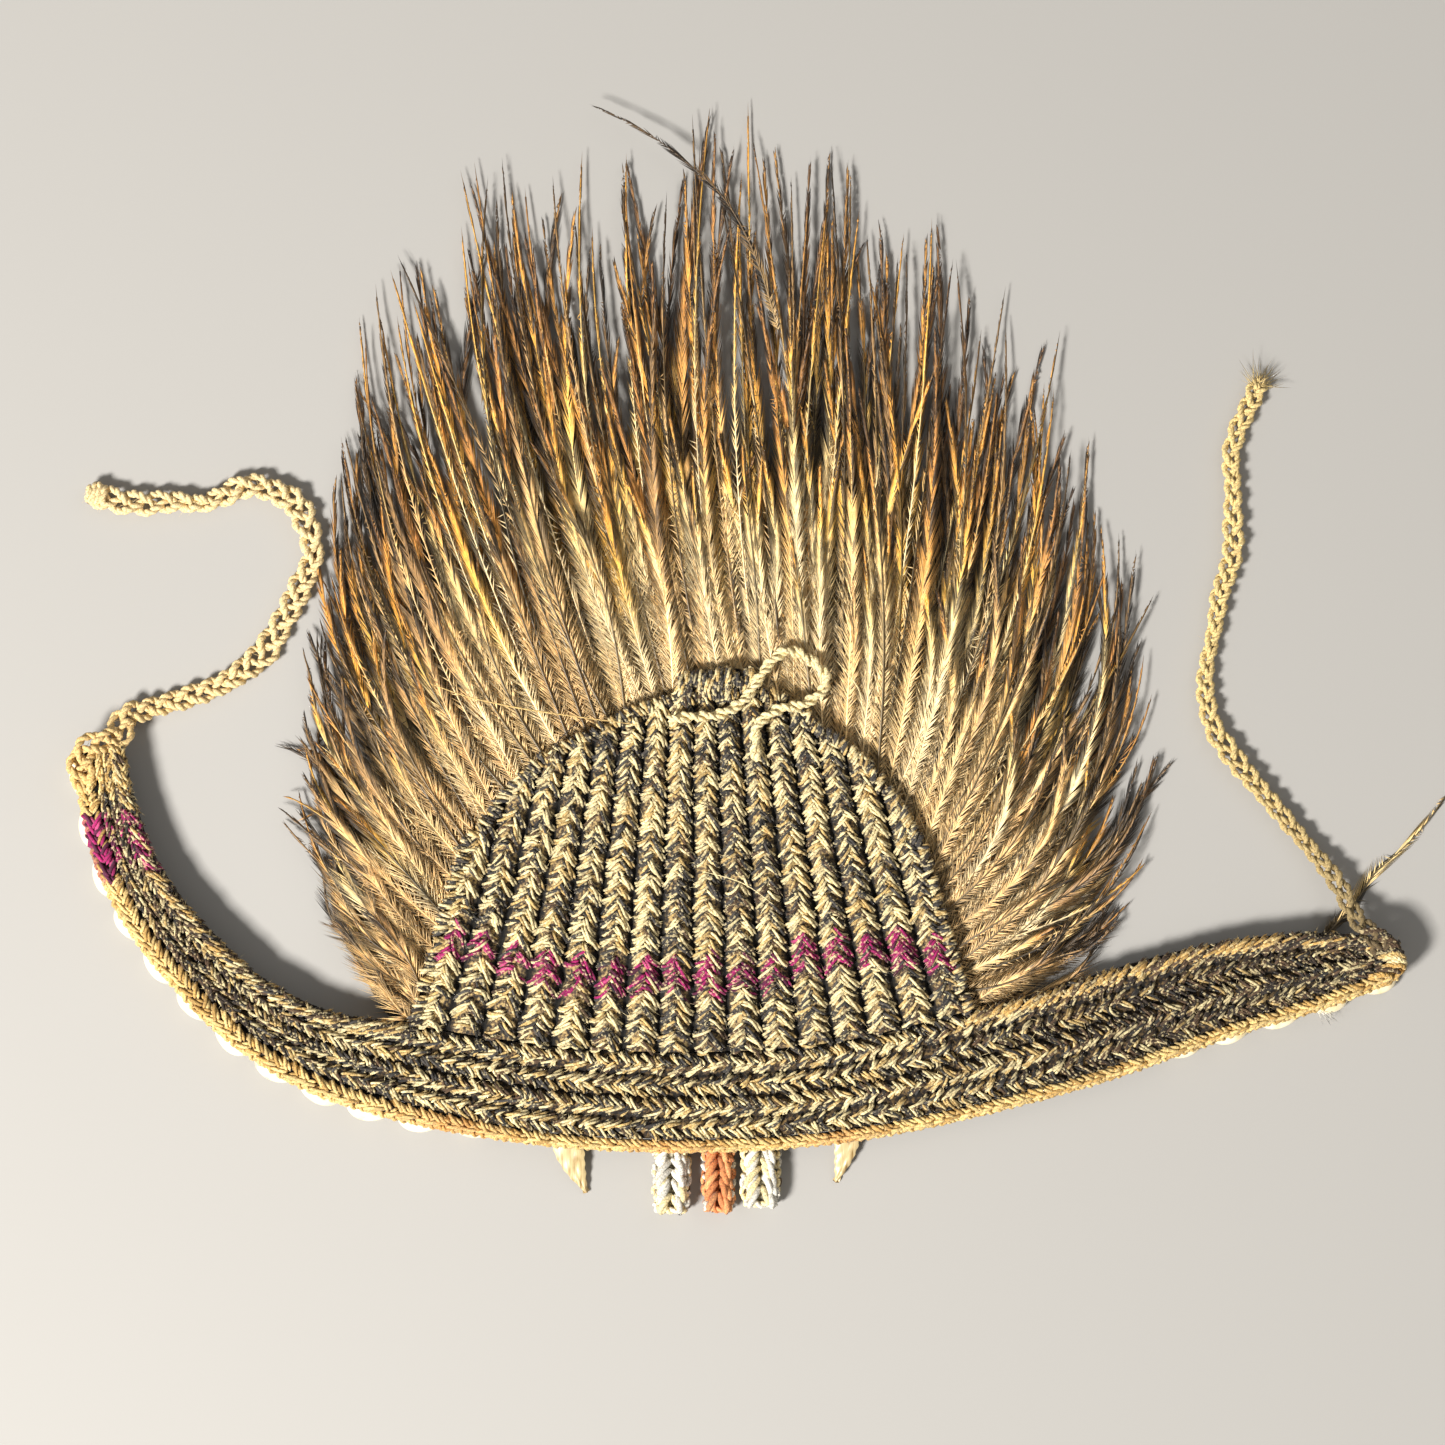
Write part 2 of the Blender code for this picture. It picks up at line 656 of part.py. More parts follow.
def build_tooth(name, share, width, length, lean, finish):
    place = band_place(share)
    rim = rim_point(place)
    top = BAND_UNDER - GAP
    whole = TOOTH_TUCK + length
    sections = []
    for along, wide in TOOTH_OUTLINE:
        y = rim.y + TOOTH_TUCK - along * whole
        x = rim.x + lean * along * along
        half = width / 2 * wide
        high = mix(top, TOOTH_THICK, along)
        low = high - TOOTH_THICK
        sections.append([(x + half * side, y, mix(low, high, rise)) for side, rise in TOOTH_SECTION])
    return new_object(name, ribbon(name, sections), finish)


def build_tab(name, share, width, length_share, finish):
    """A thick looped tab: three pairs of chunky stitches make its sides wavy."""
    place = band_place(share)
    rim_y = min(rim_point(band_place(share + side * width / BAND_SPAN)).y for side in (-1, 0, 1))
    x = rim_point(place).x
    sections = []
    for along, wide, thick in TAB_OUTLINE:
        y = rim_y - GAP - along * TAB_LENGTH * length_share
        half = width / 2 * wide
        high = TAB_THICK * thick
        sections.append([(x + half * side, y, high * rise) for side, rise in TAB_SECTION])
    return new_object(name, ribbon(name, sections), finish)


def build_end_feather(finish):
    """The single loose feather at the headband's right end, tucked under it."""
    centre, across, half, _, _ = band_section(band_place(FEATHER_PLACE))
    start = centre + across * half - Vector((1.0, 1.0)).normalized() * FEATHER_TUCK
    start_height = BAND_UNDER - GAP - FEATHER_THICK
    points = [start + Vector((row[1], row[2])) * FEATHER_LENGTH for row in FEATHER_OUTLINE]
    sections = []
    for index, row in enumerate(FEATHER_OUTLINE):
        along = points[min(index + 1, len(points) - 1)] - points[max(index - 1, 0)]
        along.normalize()
        side = Vector((-along.y, along.x)) * FEATHER_WIDTH / 2 * row[3]
        low = row[4] * start_height
        middle = low + FEATHER_THICK / 2
        section = [(*(points[index] + side), middle), (*points[index], low + FEATHER_THICK),
                   (*(points[index] - side), middle), (*points[index], low)]
        sections.append(section)
    return new_object("end_feather", ribbon("end_feather", sections), finish)


def build_cord(name, route, diameter, finish):
    """A tube along a smooth curve through the route's points."""
    last = len(route) - 1

    def at(place):
        return Vector(curve_through(route, place))

    _, length = even_places(at, last, 1)
    steps = max(int(length / (CORD_STEP * diameter)), CORD_LEAST_STEPS)
    places, _ = even_places(at, last, steps)
    line = bpy.data.curves.new(name, "CURVE")
    line.dimensions = "3D"
    line.bevel_depth = diameter / 2
    line.bevel_resolution = CORD_SIDES
    line.use_fill_caps = True
    spline = line.splines.new("POLY")
    spline.points.add(len(places) - 1)
    for point, place in zip(spline.points, places):
        point.co = (*at(place), 1.0)
    line.materials.append(finish)
    made = bpy.data.objects.new(name, line)
    bpy.context.scene.collection.objects.link(made)
    return made


def main():
    clear_scene()
    looped = material("looped_fibre", (0.42, 0.33, 0.19), 0.9)
    natural = material("natural_fibre", (0.70, 0.50, 0.22), 0.9)
    pale = material("pale_fibre", (0.62, 0.56, 0.48), 0.9)
    ochre = material("ochre_fibre", (0.62, 0.20, 0.06), 0.9)
    shell = material("cowrie_shell", (0.90, 0.85, 0.70), 0.25)
    tooth = material("tooth", (0.78, 0.62, 0.34), 0.4)
    feather = material("feather", (0.36, 0.18, 0.05), 0.7)
    build_panel(looped)
    build_headband(looped)
    build_edging(natural)
    build_cowries(shell)
    build_crest(feather)
    for name, share, width, length, lean in TEETH:
        build_tooth(name, share, width, length, lean, tooth)
    for name, share, width, length_share in TABS:
        build_tab(name, share, width, length_share, ochre if name == "tab_middle" else pale)
    build_end_feather(feather)
    build_cord("tie_cord_left", TIE_LEFT_ROUTE, TIE_LEFT_DIAMETER, natural)
    build_cord("tie_cord_right", TIE_RIGHT_ROUTE, TIE_RIGHT_DIAMETER, natural)
    build_cord("top_loop", TOP_LOOP_ROUTE, LOOP_DIAMETER, natural)


main()
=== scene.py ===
# The looks of the looped-fibre feathered headdress, lying face down on a plain pale floor.
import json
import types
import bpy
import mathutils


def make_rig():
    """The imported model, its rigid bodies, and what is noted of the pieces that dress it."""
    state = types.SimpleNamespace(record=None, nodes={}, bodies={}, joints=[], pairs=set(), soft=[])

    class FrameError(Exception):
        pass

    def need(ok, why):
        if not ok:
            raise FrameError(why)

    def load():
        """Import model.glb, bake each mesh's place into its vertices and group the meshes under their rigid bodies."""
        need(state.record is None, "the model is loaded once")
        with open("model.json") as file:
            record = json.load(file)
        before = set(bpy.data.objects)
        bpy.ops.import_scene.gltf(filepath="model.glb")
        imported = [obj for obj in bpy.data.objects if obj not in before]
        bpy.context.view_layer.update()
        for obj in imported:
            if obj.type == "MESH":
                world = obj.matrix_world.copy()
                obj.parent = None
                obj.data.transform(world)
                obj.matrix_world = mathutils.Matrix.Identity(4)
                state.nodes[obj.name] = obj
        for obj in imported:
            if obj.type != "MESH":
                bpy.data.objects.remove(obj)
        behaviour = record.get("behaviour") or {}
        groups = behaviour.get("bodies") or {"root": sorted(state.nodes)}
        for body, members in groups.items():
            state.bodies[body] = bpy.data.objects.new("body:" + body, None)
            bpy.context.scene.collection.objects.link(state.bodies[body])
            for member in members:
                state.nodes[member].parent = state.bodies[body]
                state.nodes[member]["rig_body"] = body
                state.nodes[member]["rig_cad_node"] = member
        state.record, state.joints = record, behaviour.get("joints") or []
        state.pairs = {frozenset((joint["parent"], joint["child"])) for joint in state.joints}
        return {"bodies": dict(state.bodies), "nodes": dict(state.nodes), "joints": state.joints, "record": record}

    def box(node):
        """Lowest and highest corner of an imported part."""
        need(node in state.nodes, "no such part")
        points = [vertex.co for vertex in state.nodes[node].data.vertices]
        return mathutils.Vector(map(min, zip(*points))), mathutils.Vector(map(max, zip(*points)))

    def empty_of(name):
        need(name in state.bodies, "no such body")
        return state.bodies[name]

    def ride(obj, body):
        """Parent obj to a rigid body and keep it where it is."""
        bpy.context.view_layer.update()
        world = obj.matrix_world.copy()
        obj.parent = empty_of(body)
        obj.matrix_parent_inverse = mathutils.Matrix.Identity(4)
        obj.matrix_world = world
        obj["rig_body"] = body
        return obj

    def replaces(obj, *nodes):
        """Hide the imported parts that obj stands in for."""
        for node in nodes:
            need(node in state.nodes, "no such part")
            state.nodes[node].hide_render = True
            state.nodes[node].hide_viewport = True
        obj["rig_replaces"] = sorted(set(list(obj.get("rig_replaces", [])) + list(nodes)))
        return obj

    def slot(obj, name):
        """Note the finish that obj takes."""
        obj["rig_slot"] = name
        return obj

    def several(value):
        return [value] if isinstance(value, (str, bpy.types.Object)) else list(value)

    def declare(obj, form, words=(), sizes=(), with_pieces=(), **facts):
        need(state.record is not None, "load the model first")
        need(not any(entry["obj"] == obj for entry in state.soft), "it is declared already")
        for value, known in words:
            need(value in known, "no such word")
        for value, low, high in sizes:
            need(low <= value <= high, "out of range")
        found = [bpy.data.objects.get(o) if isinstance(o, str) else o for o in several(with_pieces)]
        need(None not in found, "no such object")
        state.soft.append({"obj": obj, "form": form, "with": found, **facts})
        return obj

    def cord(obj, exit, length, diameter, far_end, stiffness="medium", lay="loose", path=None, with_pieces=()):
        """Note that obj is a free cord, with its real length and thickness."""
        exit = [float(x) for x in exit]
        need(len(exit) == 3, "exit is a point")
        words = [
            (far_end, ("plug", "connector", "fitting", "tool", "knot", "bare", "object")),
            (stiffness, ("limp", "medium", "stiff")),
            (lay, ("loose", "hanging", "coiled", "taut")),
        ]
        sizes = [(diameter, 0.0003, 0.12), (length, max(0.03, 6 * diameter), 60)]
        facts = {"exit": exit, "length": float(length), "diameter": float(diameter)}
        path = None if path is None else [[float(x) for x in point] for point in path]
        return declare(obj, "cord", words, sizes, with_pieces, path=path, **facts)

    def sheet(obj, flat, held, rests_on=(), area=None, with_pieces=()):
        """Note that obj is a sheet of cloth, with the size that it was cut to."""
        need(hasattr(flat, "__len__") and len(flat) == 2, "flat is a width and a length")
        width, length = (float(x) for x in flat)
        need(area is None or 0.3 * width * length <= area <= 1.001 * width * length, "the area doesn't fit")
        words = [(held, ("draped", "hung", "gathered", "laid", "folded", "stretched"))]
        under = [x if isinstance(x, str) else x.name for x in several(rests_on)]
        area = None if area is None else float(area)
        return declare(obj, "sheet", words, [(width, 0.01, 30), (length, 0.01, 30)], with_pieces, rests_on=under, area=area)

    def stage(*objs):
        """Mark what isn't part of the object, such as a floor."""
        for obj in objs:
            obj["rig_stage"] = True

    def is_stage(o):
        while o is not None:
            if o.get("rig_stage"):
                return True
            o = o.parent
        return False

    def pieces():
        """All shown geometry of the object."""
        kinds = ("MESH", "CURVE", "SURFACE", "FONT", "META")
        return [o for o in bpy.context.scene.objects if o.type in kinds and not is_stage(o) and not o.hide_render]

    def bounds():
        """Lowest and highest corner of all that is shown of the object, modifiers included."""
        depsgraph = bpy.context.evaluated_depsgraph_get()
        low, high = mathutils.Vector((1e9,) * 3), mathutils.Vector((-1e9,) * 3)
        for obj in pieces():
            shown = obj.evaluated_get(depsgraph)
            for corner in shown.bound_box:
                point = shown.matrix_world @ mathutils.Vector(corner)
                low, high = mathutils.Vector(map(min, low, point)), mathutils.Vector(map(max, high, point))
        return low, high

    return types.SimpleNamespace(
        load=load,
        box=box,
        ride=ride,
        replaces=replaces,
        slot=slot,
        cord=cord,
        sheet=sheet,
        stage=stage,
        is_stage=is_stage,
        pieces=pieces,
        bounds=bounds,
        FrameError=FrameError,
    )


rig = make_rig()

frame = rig.load()

import json
import math

import bmesh
import bpy
import numpy as np
from mathutils import Matrix, Vector

CAD_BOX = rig.bounds()
SEED = 7

# The photograph's scale and the point of it that lies at the origin.
METRES_PER_PIXEL = 0.00036
ORIGIN_PIXEL = (758.33, 657.5)
PICTURE_PIXELS = 1445

# The same driving sizes as the solids.
BAND_MID_X, BAND_MID_Y = -0.0075, -0.1597
CREST_MID_X = -0.0084
PANEL_MID_X, PANEL_FOOT_Y = -0.0235, -0.1420
GAP = 0.0003
BAND_SPAN, BAND_RISE, BAND_WIDTH = 0.4770, 0.1270, 0.0360
EDGING_WIDTH = 0.0078
SHELL_LENGTH, SHELL_WIDTH, SHELL_HEIGHT = 0.0166, 0.0115, 0.0070
PANEL_WIDTH, PANEL_HEIGHT, FAN_RADIUS = 0.2080, 0.1300, 0.3640
STUB_HEIGHT, STUB_FROM, STUB_TO = 0.0080, -0.07, 0.37
CREST_WIDTH, CREST_HEIGHT = 0.3310, 0.3425
BACKING_INSET = 0.0030
CLOTH_UNDER = 0.0073
FURROW = 0.0101          # height of the middle of the yarn in a furrow
RIBS, RIDGES = 16, 4

# Columns: place along the half span, rise, width, edging's width.
BAND_TABLE = np.array((
    (-0.962, 1.000, 0.50, 1.00), (-0.950, 0.853, 0.54, 1.00), (-0.923, 0.683, 0.58, 1.00),
    (-0.879, 0.535, 0.62, 1.00), (-0.823, 0.408, 0.66, 1.00), (-0.739, 0.258, 0.71, 1.00),
    (-0.630, 0.144, 0.82, 0.95), (-0.506, 0.085, 0.94, 0.85), (-0.389, 0.045, 0.96, 0.65),
    (-0.268, 0.015, 0.97, 0.52), (-0.147, 0.002, 0.97, 0.50), (-0.057, 0.000, 0.97, 0.50),
    (0.064, 0.010, 0.97, 0.50), (0.185, 0.037, 0.98, 0.50), (0.321, 0.093, 1.01, 0.50),
    (0.457, 0.160, 1.02, 0.50), (0.547, 0.212, 1.03, 0.50), (0.638, 0.268, 1.00, 0.50),
    (0.743, 0.325, 0.92, 0.52), (0.849, 0.365, 0.80, 0.55), (0.925, 0.388, 0.62, 0.60),
    (0.997, 0.405, 0.36, 0.60)))
# Columns: place across the fan, height of the panel's top edge.
DOME_TABLE = np.array((
    (-1.000, 0.572), (-0.875, 0.724), (-0.750, 0.812), (-0.500, 0.895), (-0.250, 0.956),
    (0.000, 0.990), (0.250, 1.000), (0.500, 0.978), (0.750, 0.858), (0.875, 0.785), (1.000, 0.619)))
# Columns: place along the panel's edge, then across and up for the bend of that
# stream of feathers, then across and up for its tips.
CREST_TABLE = np.array((
    (0.00, -0.77, 0.08, -0.83, 0.13), (0.05, -0.83, 0.17, -0.95, 0.22), (0.10, -0.86, 0.26, -0.99, 0.33),
    (0.16, -0.84, 0.37, -0.93, 0.46), (0.22, -0.80, 0.44, -0.87, 0.60), (0.28, -0.74, 0.50, -0.84, 0.72),
    (0.34, -0.64, 0.57, -0.71, 0.84), (0.40, -0.51, 0.62, -0.56, 0.92), (0.46, -0.36, 0.64, -0.41, 0.91),
    (0.50, -0.23, 0.64, -0.25, 0.95), (0.55, -0.10, 0.64, -0.08, 0.997), (0.60, 0.04, 0.63, 0.07, 0.97),
    (0.65, 0.17, 0.61, 0.22, 0.97), (0.70, 0.29, 0.57, 0.33, 0.88), (0.75, 0.41, 0.52, 0.46, 0.90),
    (0.80, 0.54, 0.47, 0.61, 0.76), (0.84, 0.64, 0.41, 0.74, 0.73), (0.88, 0.72, 0.34, 0.83, 0.58),
    (0.91, 0.78, 0.28, 0.92, 0.47), (0.94, 0.80, 0.20, 0.97, 0.36), (0.97, 0.77, 0.13, 0.92, 0.23),
    (1.00, 0.68, 0.07, 0.84, 0.14)))

# The cords' routes, as in the solids.
TIE_LEFT_ROUTE = (
    (-0.2326, -0.0281, 0.0098), (-0.2318, -0.0250, 0.0094), (-0.2288, -0.0220, 0.0080),
    (-0.2216, -0.0190, 0.0058), (-0.2121, -0.0162, 0.0046), (-0.2014, -0.0128, 0.0046),
    (-0.1927, -0.0092, 0.0046), (-0.1852, -0.0041, 0.0046), (-0.1780, 0.0020, 0.0046),
    (-0.1729, 0.0106, 0.0046), (-0.1675, 0.0203, 0.0046), (-0.1639, 0.0283, 0.0046),
    (-0.1610, 0.0344, 0.0046), (-0.1610, 0.0416, 0.0046), (-0.1632, 0.0488, 0.0046),
    (-0.1668, 0.0556, 0.0046), (-0.1744, 0.0599, 0.0046), (-0.1816, 0.0621, 0.0046),
    (-0.1866, 0.0614, 0.0046), (-0.1927, 0.0585, 0.0046), (-0.2006, 0.0556, 0.0046),
    (-0.2104, 0.0563, 0.0046), (-0.2204, 0.0556, 0.0046), (-0.2302, 0.0563, 0.0046),
    (-0.2396, 0.0592, 0.0046),
)
TIE_RIGHT_ROUTE = (
    (0.2178, -0.0978, 0.0094), (0.2149, -0.0935, 0.0090), (0.2087, -0.0816, 0.0066),
    (0.2018, -0.0722, 0.0047), (0.1936, -0.0625, 0.0036), (0.1867, -0.0542, 0.0036),
    (0.1784, -0.0445, 0.0036), (0.1716, -0.0362, 0.0036), (0.1648, -0.0265, 0.0036),
    (0.1622, -0.0182, 0.0036), (0.1612, -0.0099, 0.0036), (0.1619, -0.0016, 0.0036),
    (0.1640, 0.0077, 0.0036), (0.1655, 0.0160, 0.0036), (0.1666, 0.0232, 0.0036),
    (0.1694, 0.0311, 0.0036), (0.1712, 0.0383, 0.0036), (0.1712, 0.0491, 0.0036),
    (0.1712, 0.0617, 0.0036), (0.1705, 0.0725, 0.0036), (0.1730, 0.0823, 0.0036),
    (0.1777, 0.0920, 0.0036), (0.1806, 0.0988, 0.0036),
)
TOP_LOOP_ROUTE = (
    (-0.0325, -0.0225, 0.0156), (-0.0246, -0.0214, 0.0156), (-0.0167, -0.0211, 0.0156),
    (-0.0102, -0.0189, 0.0156), (-0.0041, -0.0142, 0.0156), (0.0002, -0.0077, 0.0152),
    (0.0049, -0.0013, 0.0146), (0.0107, 0.0024, 0.0143), (0.0168, 0.0002, 0.0143),
    (0.0218, -0.0038, 0.0146), (0.0243, -0.0078, 0.0150), (0.0225, -0.0124, 0.0155),
    (0.0154, -0.0173, 0.0156), (0.0090, -0.0180, 0.0156), (0.0031, -0.0211, 0.0156),
    (-0.0008, -0.0254, 0.0156), (-0.0010, -0.0319, 0.0156), (-0.0008, -0.0376, 0.0156),
)


def colour(code):
    """A linear colour from an sRGB hex value."""
    parts = [int(code[place:place + 2], 16) / 255 for place in (1, 3, 5)]
    return [part / 12.92 if part <= 0.04045 else ((part + 0.055) / 1.055) ** 2.4 for part in parts]


CREAM = colour("#f9e5ae")
STRAW = colour("#d6b472")
GREY = colour("#4a4642")
SLATE = colour("#2c2926")
BROWN = colour("#5d4630")
EARTH = colour("#33271d")
MAGENTA = colour("#a91664")
PLUM = colour("#5e113c")
ROSE = colour("#cc4a80")
NATURAL = colour("#eecd86")
HONEY = colour("#cda45c")
ORANGE = colour("#d68c44")
PALE = colour("#e8e3d5")
OCHRE = colour("#e29a62")
RUST = colour("#cd804c")


def smooth(table, place):
    """Every column of a table at places among its rows, on a smooth curve."""
    table = np.asarray(table, float)
    last = len(table) - 1
    place = np.clip(np.asarray(place, float), 0, last)
    index = np.minimum(place.astype(int), last - 1)
    share = (place - index)[..., None]
    p0, p1 = table[np.maximum(index - 1, 0)], table[index]
    p2, p3 = table[index + 1], table[np.minimum(index + 2, last)]
    bend = 2 * p0 - 5 * p1 + 4 * p2 - p3
    twist = 3 * p1 - 3 * p2 + p3 - p0
    return p1 + 0.5 * share * ((p2 - p0) + share * (bend + share * twist))


def by_key(table, key):
    """Every column of a table at values of its first one."""
    keys = table[:, 0]
    index = np.clip(np.searchsorted(keys, key, side="right") - 1, 0, len(keys) - 2)
    return smooth(table, index + (key - keys[index]) / (keys[index + 1] - keys[index]))


def columns(place, keys, table):
    """Every column of a table at places between its keys, on straight lines."""
    return np.stack([np.interp(place, keys, column) for column in table.T], -1)


def raised(spot, height):
    """Points of the plane, with their heights."""
    return np.concatenate((spot, height[..., None]), -1)


def down_fan(slope):
    """The direction down the fan's line at a slope from its middle."""
    return np.stack((np.sin(slope), -np.cos(slope)), -1)


def lengths_along(line):
    """The distance along a line to each of its points."""
    return np.concatenate(([0], np.cumsum(np.linalg.norm(np.diff(line, axis=0), axis=1))))


def length_of(line):
    """The whole length of a line of points."""
    return float(np.linalg.norm(np.diff(line, axis=0), axis=1).sum())


def pointing(swing, rise):
    """Directions at angles in the plane, each with its rise."""
    return np.stack((np.cos(swing), np.sin(swing), rise), 1)


def unit(vectors):
    """The same directions with a length of one."""
    return vectors / np.maximum(np.linalg.norm(vectors, axis=-1, keepdims=True), 1e-9)


def frame_along(line):
    """The directions ahead, to the side and up at every point of each line."""
    ahead = unit(np.gradient(line, axis=-2))
    side = unit(np.cross(np.broadcast_to((0.0, 0.0, 1.0), ahead.shape), ahead))
    return ahead, side, np.cross(ahead, side)


class Band:
    """The headband's centre line, in metres along it and shares across it."""

    def __init__(self):
        places = np.linspace(0, len(BAND_TABLE) - 1, 1500)
        rows = smooth(BAND_TABLE, places)
        self.centre = np.stack((BAND_MID_X + rows[:, 0] * BAND_SPAN / 2,
                                BAND_MID_Y + rows[:, 1] * BAND_RISE), 1)
        self.along = lengths_along(self.centre)
        self.length = self.along[-1]
        ahead = unit(np.gradient(self.centre, axis=0))
        self.across = np.stack((-ahead[:, 1], ahead[:, 0]), 1)
        self.half = rows[:, 2] * BAND_WIDTH / 2
        self.edging = rows[:, 3] * EDGING_WIDTH

    def look(self, values, along):
        """A value of the centre line's points, at places along it."""
        if values.ndim == 1:
            return np.interp(along, self.along, values)
        return columns(along, self.along, values)

    def point(self, along, from_rim):
        """A point at a distance inward from the lower rim."""
        centre, across = self.look(self.centre, along), self.look(self.across, along)
        return centre + across * (from_rim - self.look(self.half, along))[..., None]

    def upper_rim(self, along):
        """The distance from the lower rim to the upper one."""
        return 2 * self.look(self.half, along)

    def nearest(self, points):
        """The place along the centre line that is nearest to each point."""
        coarse = self.centre[::10]
        gaps = ((points[:, None, :] - coarse[None]) ** 2).sum(-1)
        return self.along[gaps.argmin(1) * 10]


BAND = Band()
FAN_SLOPE = math.atan2(PANEL_WIDTH / 2, FAN_RADIUS)      # of the panel's outer lines
FAN_HUB = np.array((PANEL_MID_X, PANEL_FOOT_Y + FAN_RADIUS))


def in_stub(share):
    """Whether a place across the fan is under the stub."""
    return (share > STUB_FROM) & (share < STUB_TO)


def fan_lines(share):
    """The foot and the top of the panel's lines at shares across its fan."""
    slope = share * FAN_SLOPE
    way = down_fan(slope)
    height = by_key(DOME_TABLE, share)[..., 1] * PANEL_HEIGHT + STUB_HEIGHT * in_stub(share)
    top = FAN_HUB + way * ((FAN_RADIUS - height) / -way[..., 1])[..., None]
    ray = BAND.centre + BAND.across * BAND.half[:, None] - FAN_HUB
    slopes = np.arctan2(ray[:, 0], -ray[:, 1])
    order = np.argsort(slopes)
    reach = np.interp(slope, slopes[order], np.linalg.norm(ray, axis=1)[order])
    return FAN_HUB + way * (reach - GAP)[..., None], top


FAN_SHARES = np.linspace(-1, 1, 401)
FAN_FOOT, FAN_TOP = fan_lines(FAN_SHARES)


def placed(made, slot, node=None):
    """A finished piece on the only body, with its slot and the node that it replaces."""
    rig.ride(made, "root")
    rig.slot(made, slot)
    if node:
        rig.replaces(made, node)
    return made


def linked(name, mesh, slot, node=None):
    """A finished piece from a mesh that lies where it belongs."""
    made = bpy.data.objects.new(name, mesh)
    bpy.context.scene.collection.objects.link(made)
    return placed(made, slot, node)


class Strands:
    """Many thin closed tubes gathered into one mesh, each point with its own colour."""

    def __init__(self):
        self.points, self.quads, self.tris, self.colours = [], [], [], []
        self.count = 0

    def add(self, paths, radius, dye, sides=4):
        """paths is tubes by points by 3. radius and dye may be one for all or one a point."""
        tubes, steps, _ = paths.shape
        _, side, lift = frame_along(paths)
        radius = np.broadcast_to(radius, (tubes, steps))[..., None, None]
        angles = np.arange(sides) * 2 * math.pi / sides + math.pi / sides
        ring = (np.cos(angles)[:, None] * side[:, :, None, :]
                + np.sin(angles)[:, None] * lift[:, :, None, :]) * radius
        body = paths[:, 1:-1, None, :] + ring[:, 1:-1]
        inner = steps - 2
        size = inner * sides + 2
        verts = np.concatenate((body.reshape(tubes, inner * sides, 3), paths[:, :1], paths[:, -1:]), 1)
        dye = np.broadcast_to(dye, (tubes, steps, 3))
        tones = np.concatenate((np.repeat(dye[:, 1:-1], sides, axis=1), dye[:, :1], dye[:, -1:]), 1)
        start = np.arange(tubes)[:, None, None] * size + self.count
        low = (np.arange(inner - 1)[:, None] * sides + np.arange(sides)).ravel()
        after = (np.arange(inner - 1)[:, None] * sides + (np.arange(sides) + 1) % sides).ravel()
        quads = np.stack((low, low + sides, after + sides, after), 1)[None] + start
        first, second = np.arange(sides), (np.arange(sides) + 1) % sides
        base = (inner - 1) * sides
        start_caps = np.stack((np.full(sides, size - 2), first, second), 1)
        end_caps = np.stack((np.full(sides, size - 1), base + second, base + first), 1)
        tris = np.concatenate((start_caps, end_caps))[None] + start
        self.keep(verts, tones, tris, quads)

    def keep(self, verts, tones, tris, quads=None):
        """Adds points, with their colours and the faces between them."""
        self.points.append(verts.reshape(-1, 3))
        self.colours.append(tones.reshape(-1, 3))
        self.tris.append(tris.reshape(-1, 3))
        if quads is not None:
            self.quads.append(quads.reshape(-1, 4))
        self.count += verts.size // 3

    def add_spikes(self, root, tip, width, dye_root, dye_tip=None):
        """Closed three-sided spikes, for barbs and loose fibres."""
        ahead = unit(tip - root)
        side = unit(np.cross(ahead, np.broadcast_to((0.0, 0.0, 1.0), ahead.shape)))
        lift = np.cross(side, ahead)
        width = np.broadcast_to(width, len(root))[:, None]
        foot = (root + side * width / 2, root - side * width / 2, root + lift * width * 0.6)
        corners = np.stack((*foot, tip), 1)
        dye_root = np.broadcast_to(dye_root, root.shape)
        tones = np.stack((dye_root, dye_root, dye_root, dye_root if dye_tip is None else dye_tip), 1)
        start = np.arange(len(root))[:, None, None] * 4 + self.count
        faces = np.array(((0, 1, 2), (1, 0, 3), (2, 1, 3), (0, 2, 3)))[None] + start
        self.keep(corners, tones, faces)

    def make(self, name, finish, slot, node=None):
        """The piece with everything gathered so far."""
        points = np.concatenate(self.points).astype(np.float32)
        quads = np.concatenate(self.quads) if self.quads else np.zeros((0, 4), int)
        tris = np.concatenate(self.tris)
        mesh = bpy.data.meshes.new(name)
        mesh.vertices.add(len(points))
        mesh.vertices.foreach_set("co", points.ravel())
        mesh.loops.add(quads.size + tris.size)
        corners = np.concatenate((quads.ravel(), tris.ravel()))
        mesh.loops.foreach_set("vertex_index", corners.astype(np.int32))
        mesh.polygons.add(len(quads) + len(tris))
        starts = np.concatenate((np.arange(len(quads)) * 4, quads.size + np.arange(len(tris)) * 3))
        mesh.polygons.foreach_set("loop_start", starts.astype(np.int32))
        mesh.update(calc_edges=True)
        tones = np.concatenate(self.colours)
        layer = mesh.color_attributes.new(name="dye", type="FLOAT_COLOR", domain="POINT")
        tones = np.concatenate((tones, np.ones((len(tones), 1))), 1)
        layer.data.foreach_set("color", tones.astype(np.float32).ravel())
        mesh.polygons.foreach_set("use_smooth", np.ones(len(mesh.polygons), bool))
        mesh.materials.append(finish)
        return linked(name, mesh, slot, node)


def plied(paths, plies, offset, turns, phase=0.0):
    """Each path as several plies twisted round it."""
    _, side, lift = frame_along(paths)
    share = np.linspace(0, 1, paths.shape[1])
    made = []
    for ply in range(plies):
        angle = 2 * math.pi * (ply / plies + turns * share) + phase
        out, up = np.cos(angle)[None, :, None], np.sin(angle)[None, :, None]
        made.append(paths + offset * (out * side + up * lift))
    return np.concatenate(made)


LEG_POINTS = 7           # points along a stitch's leg


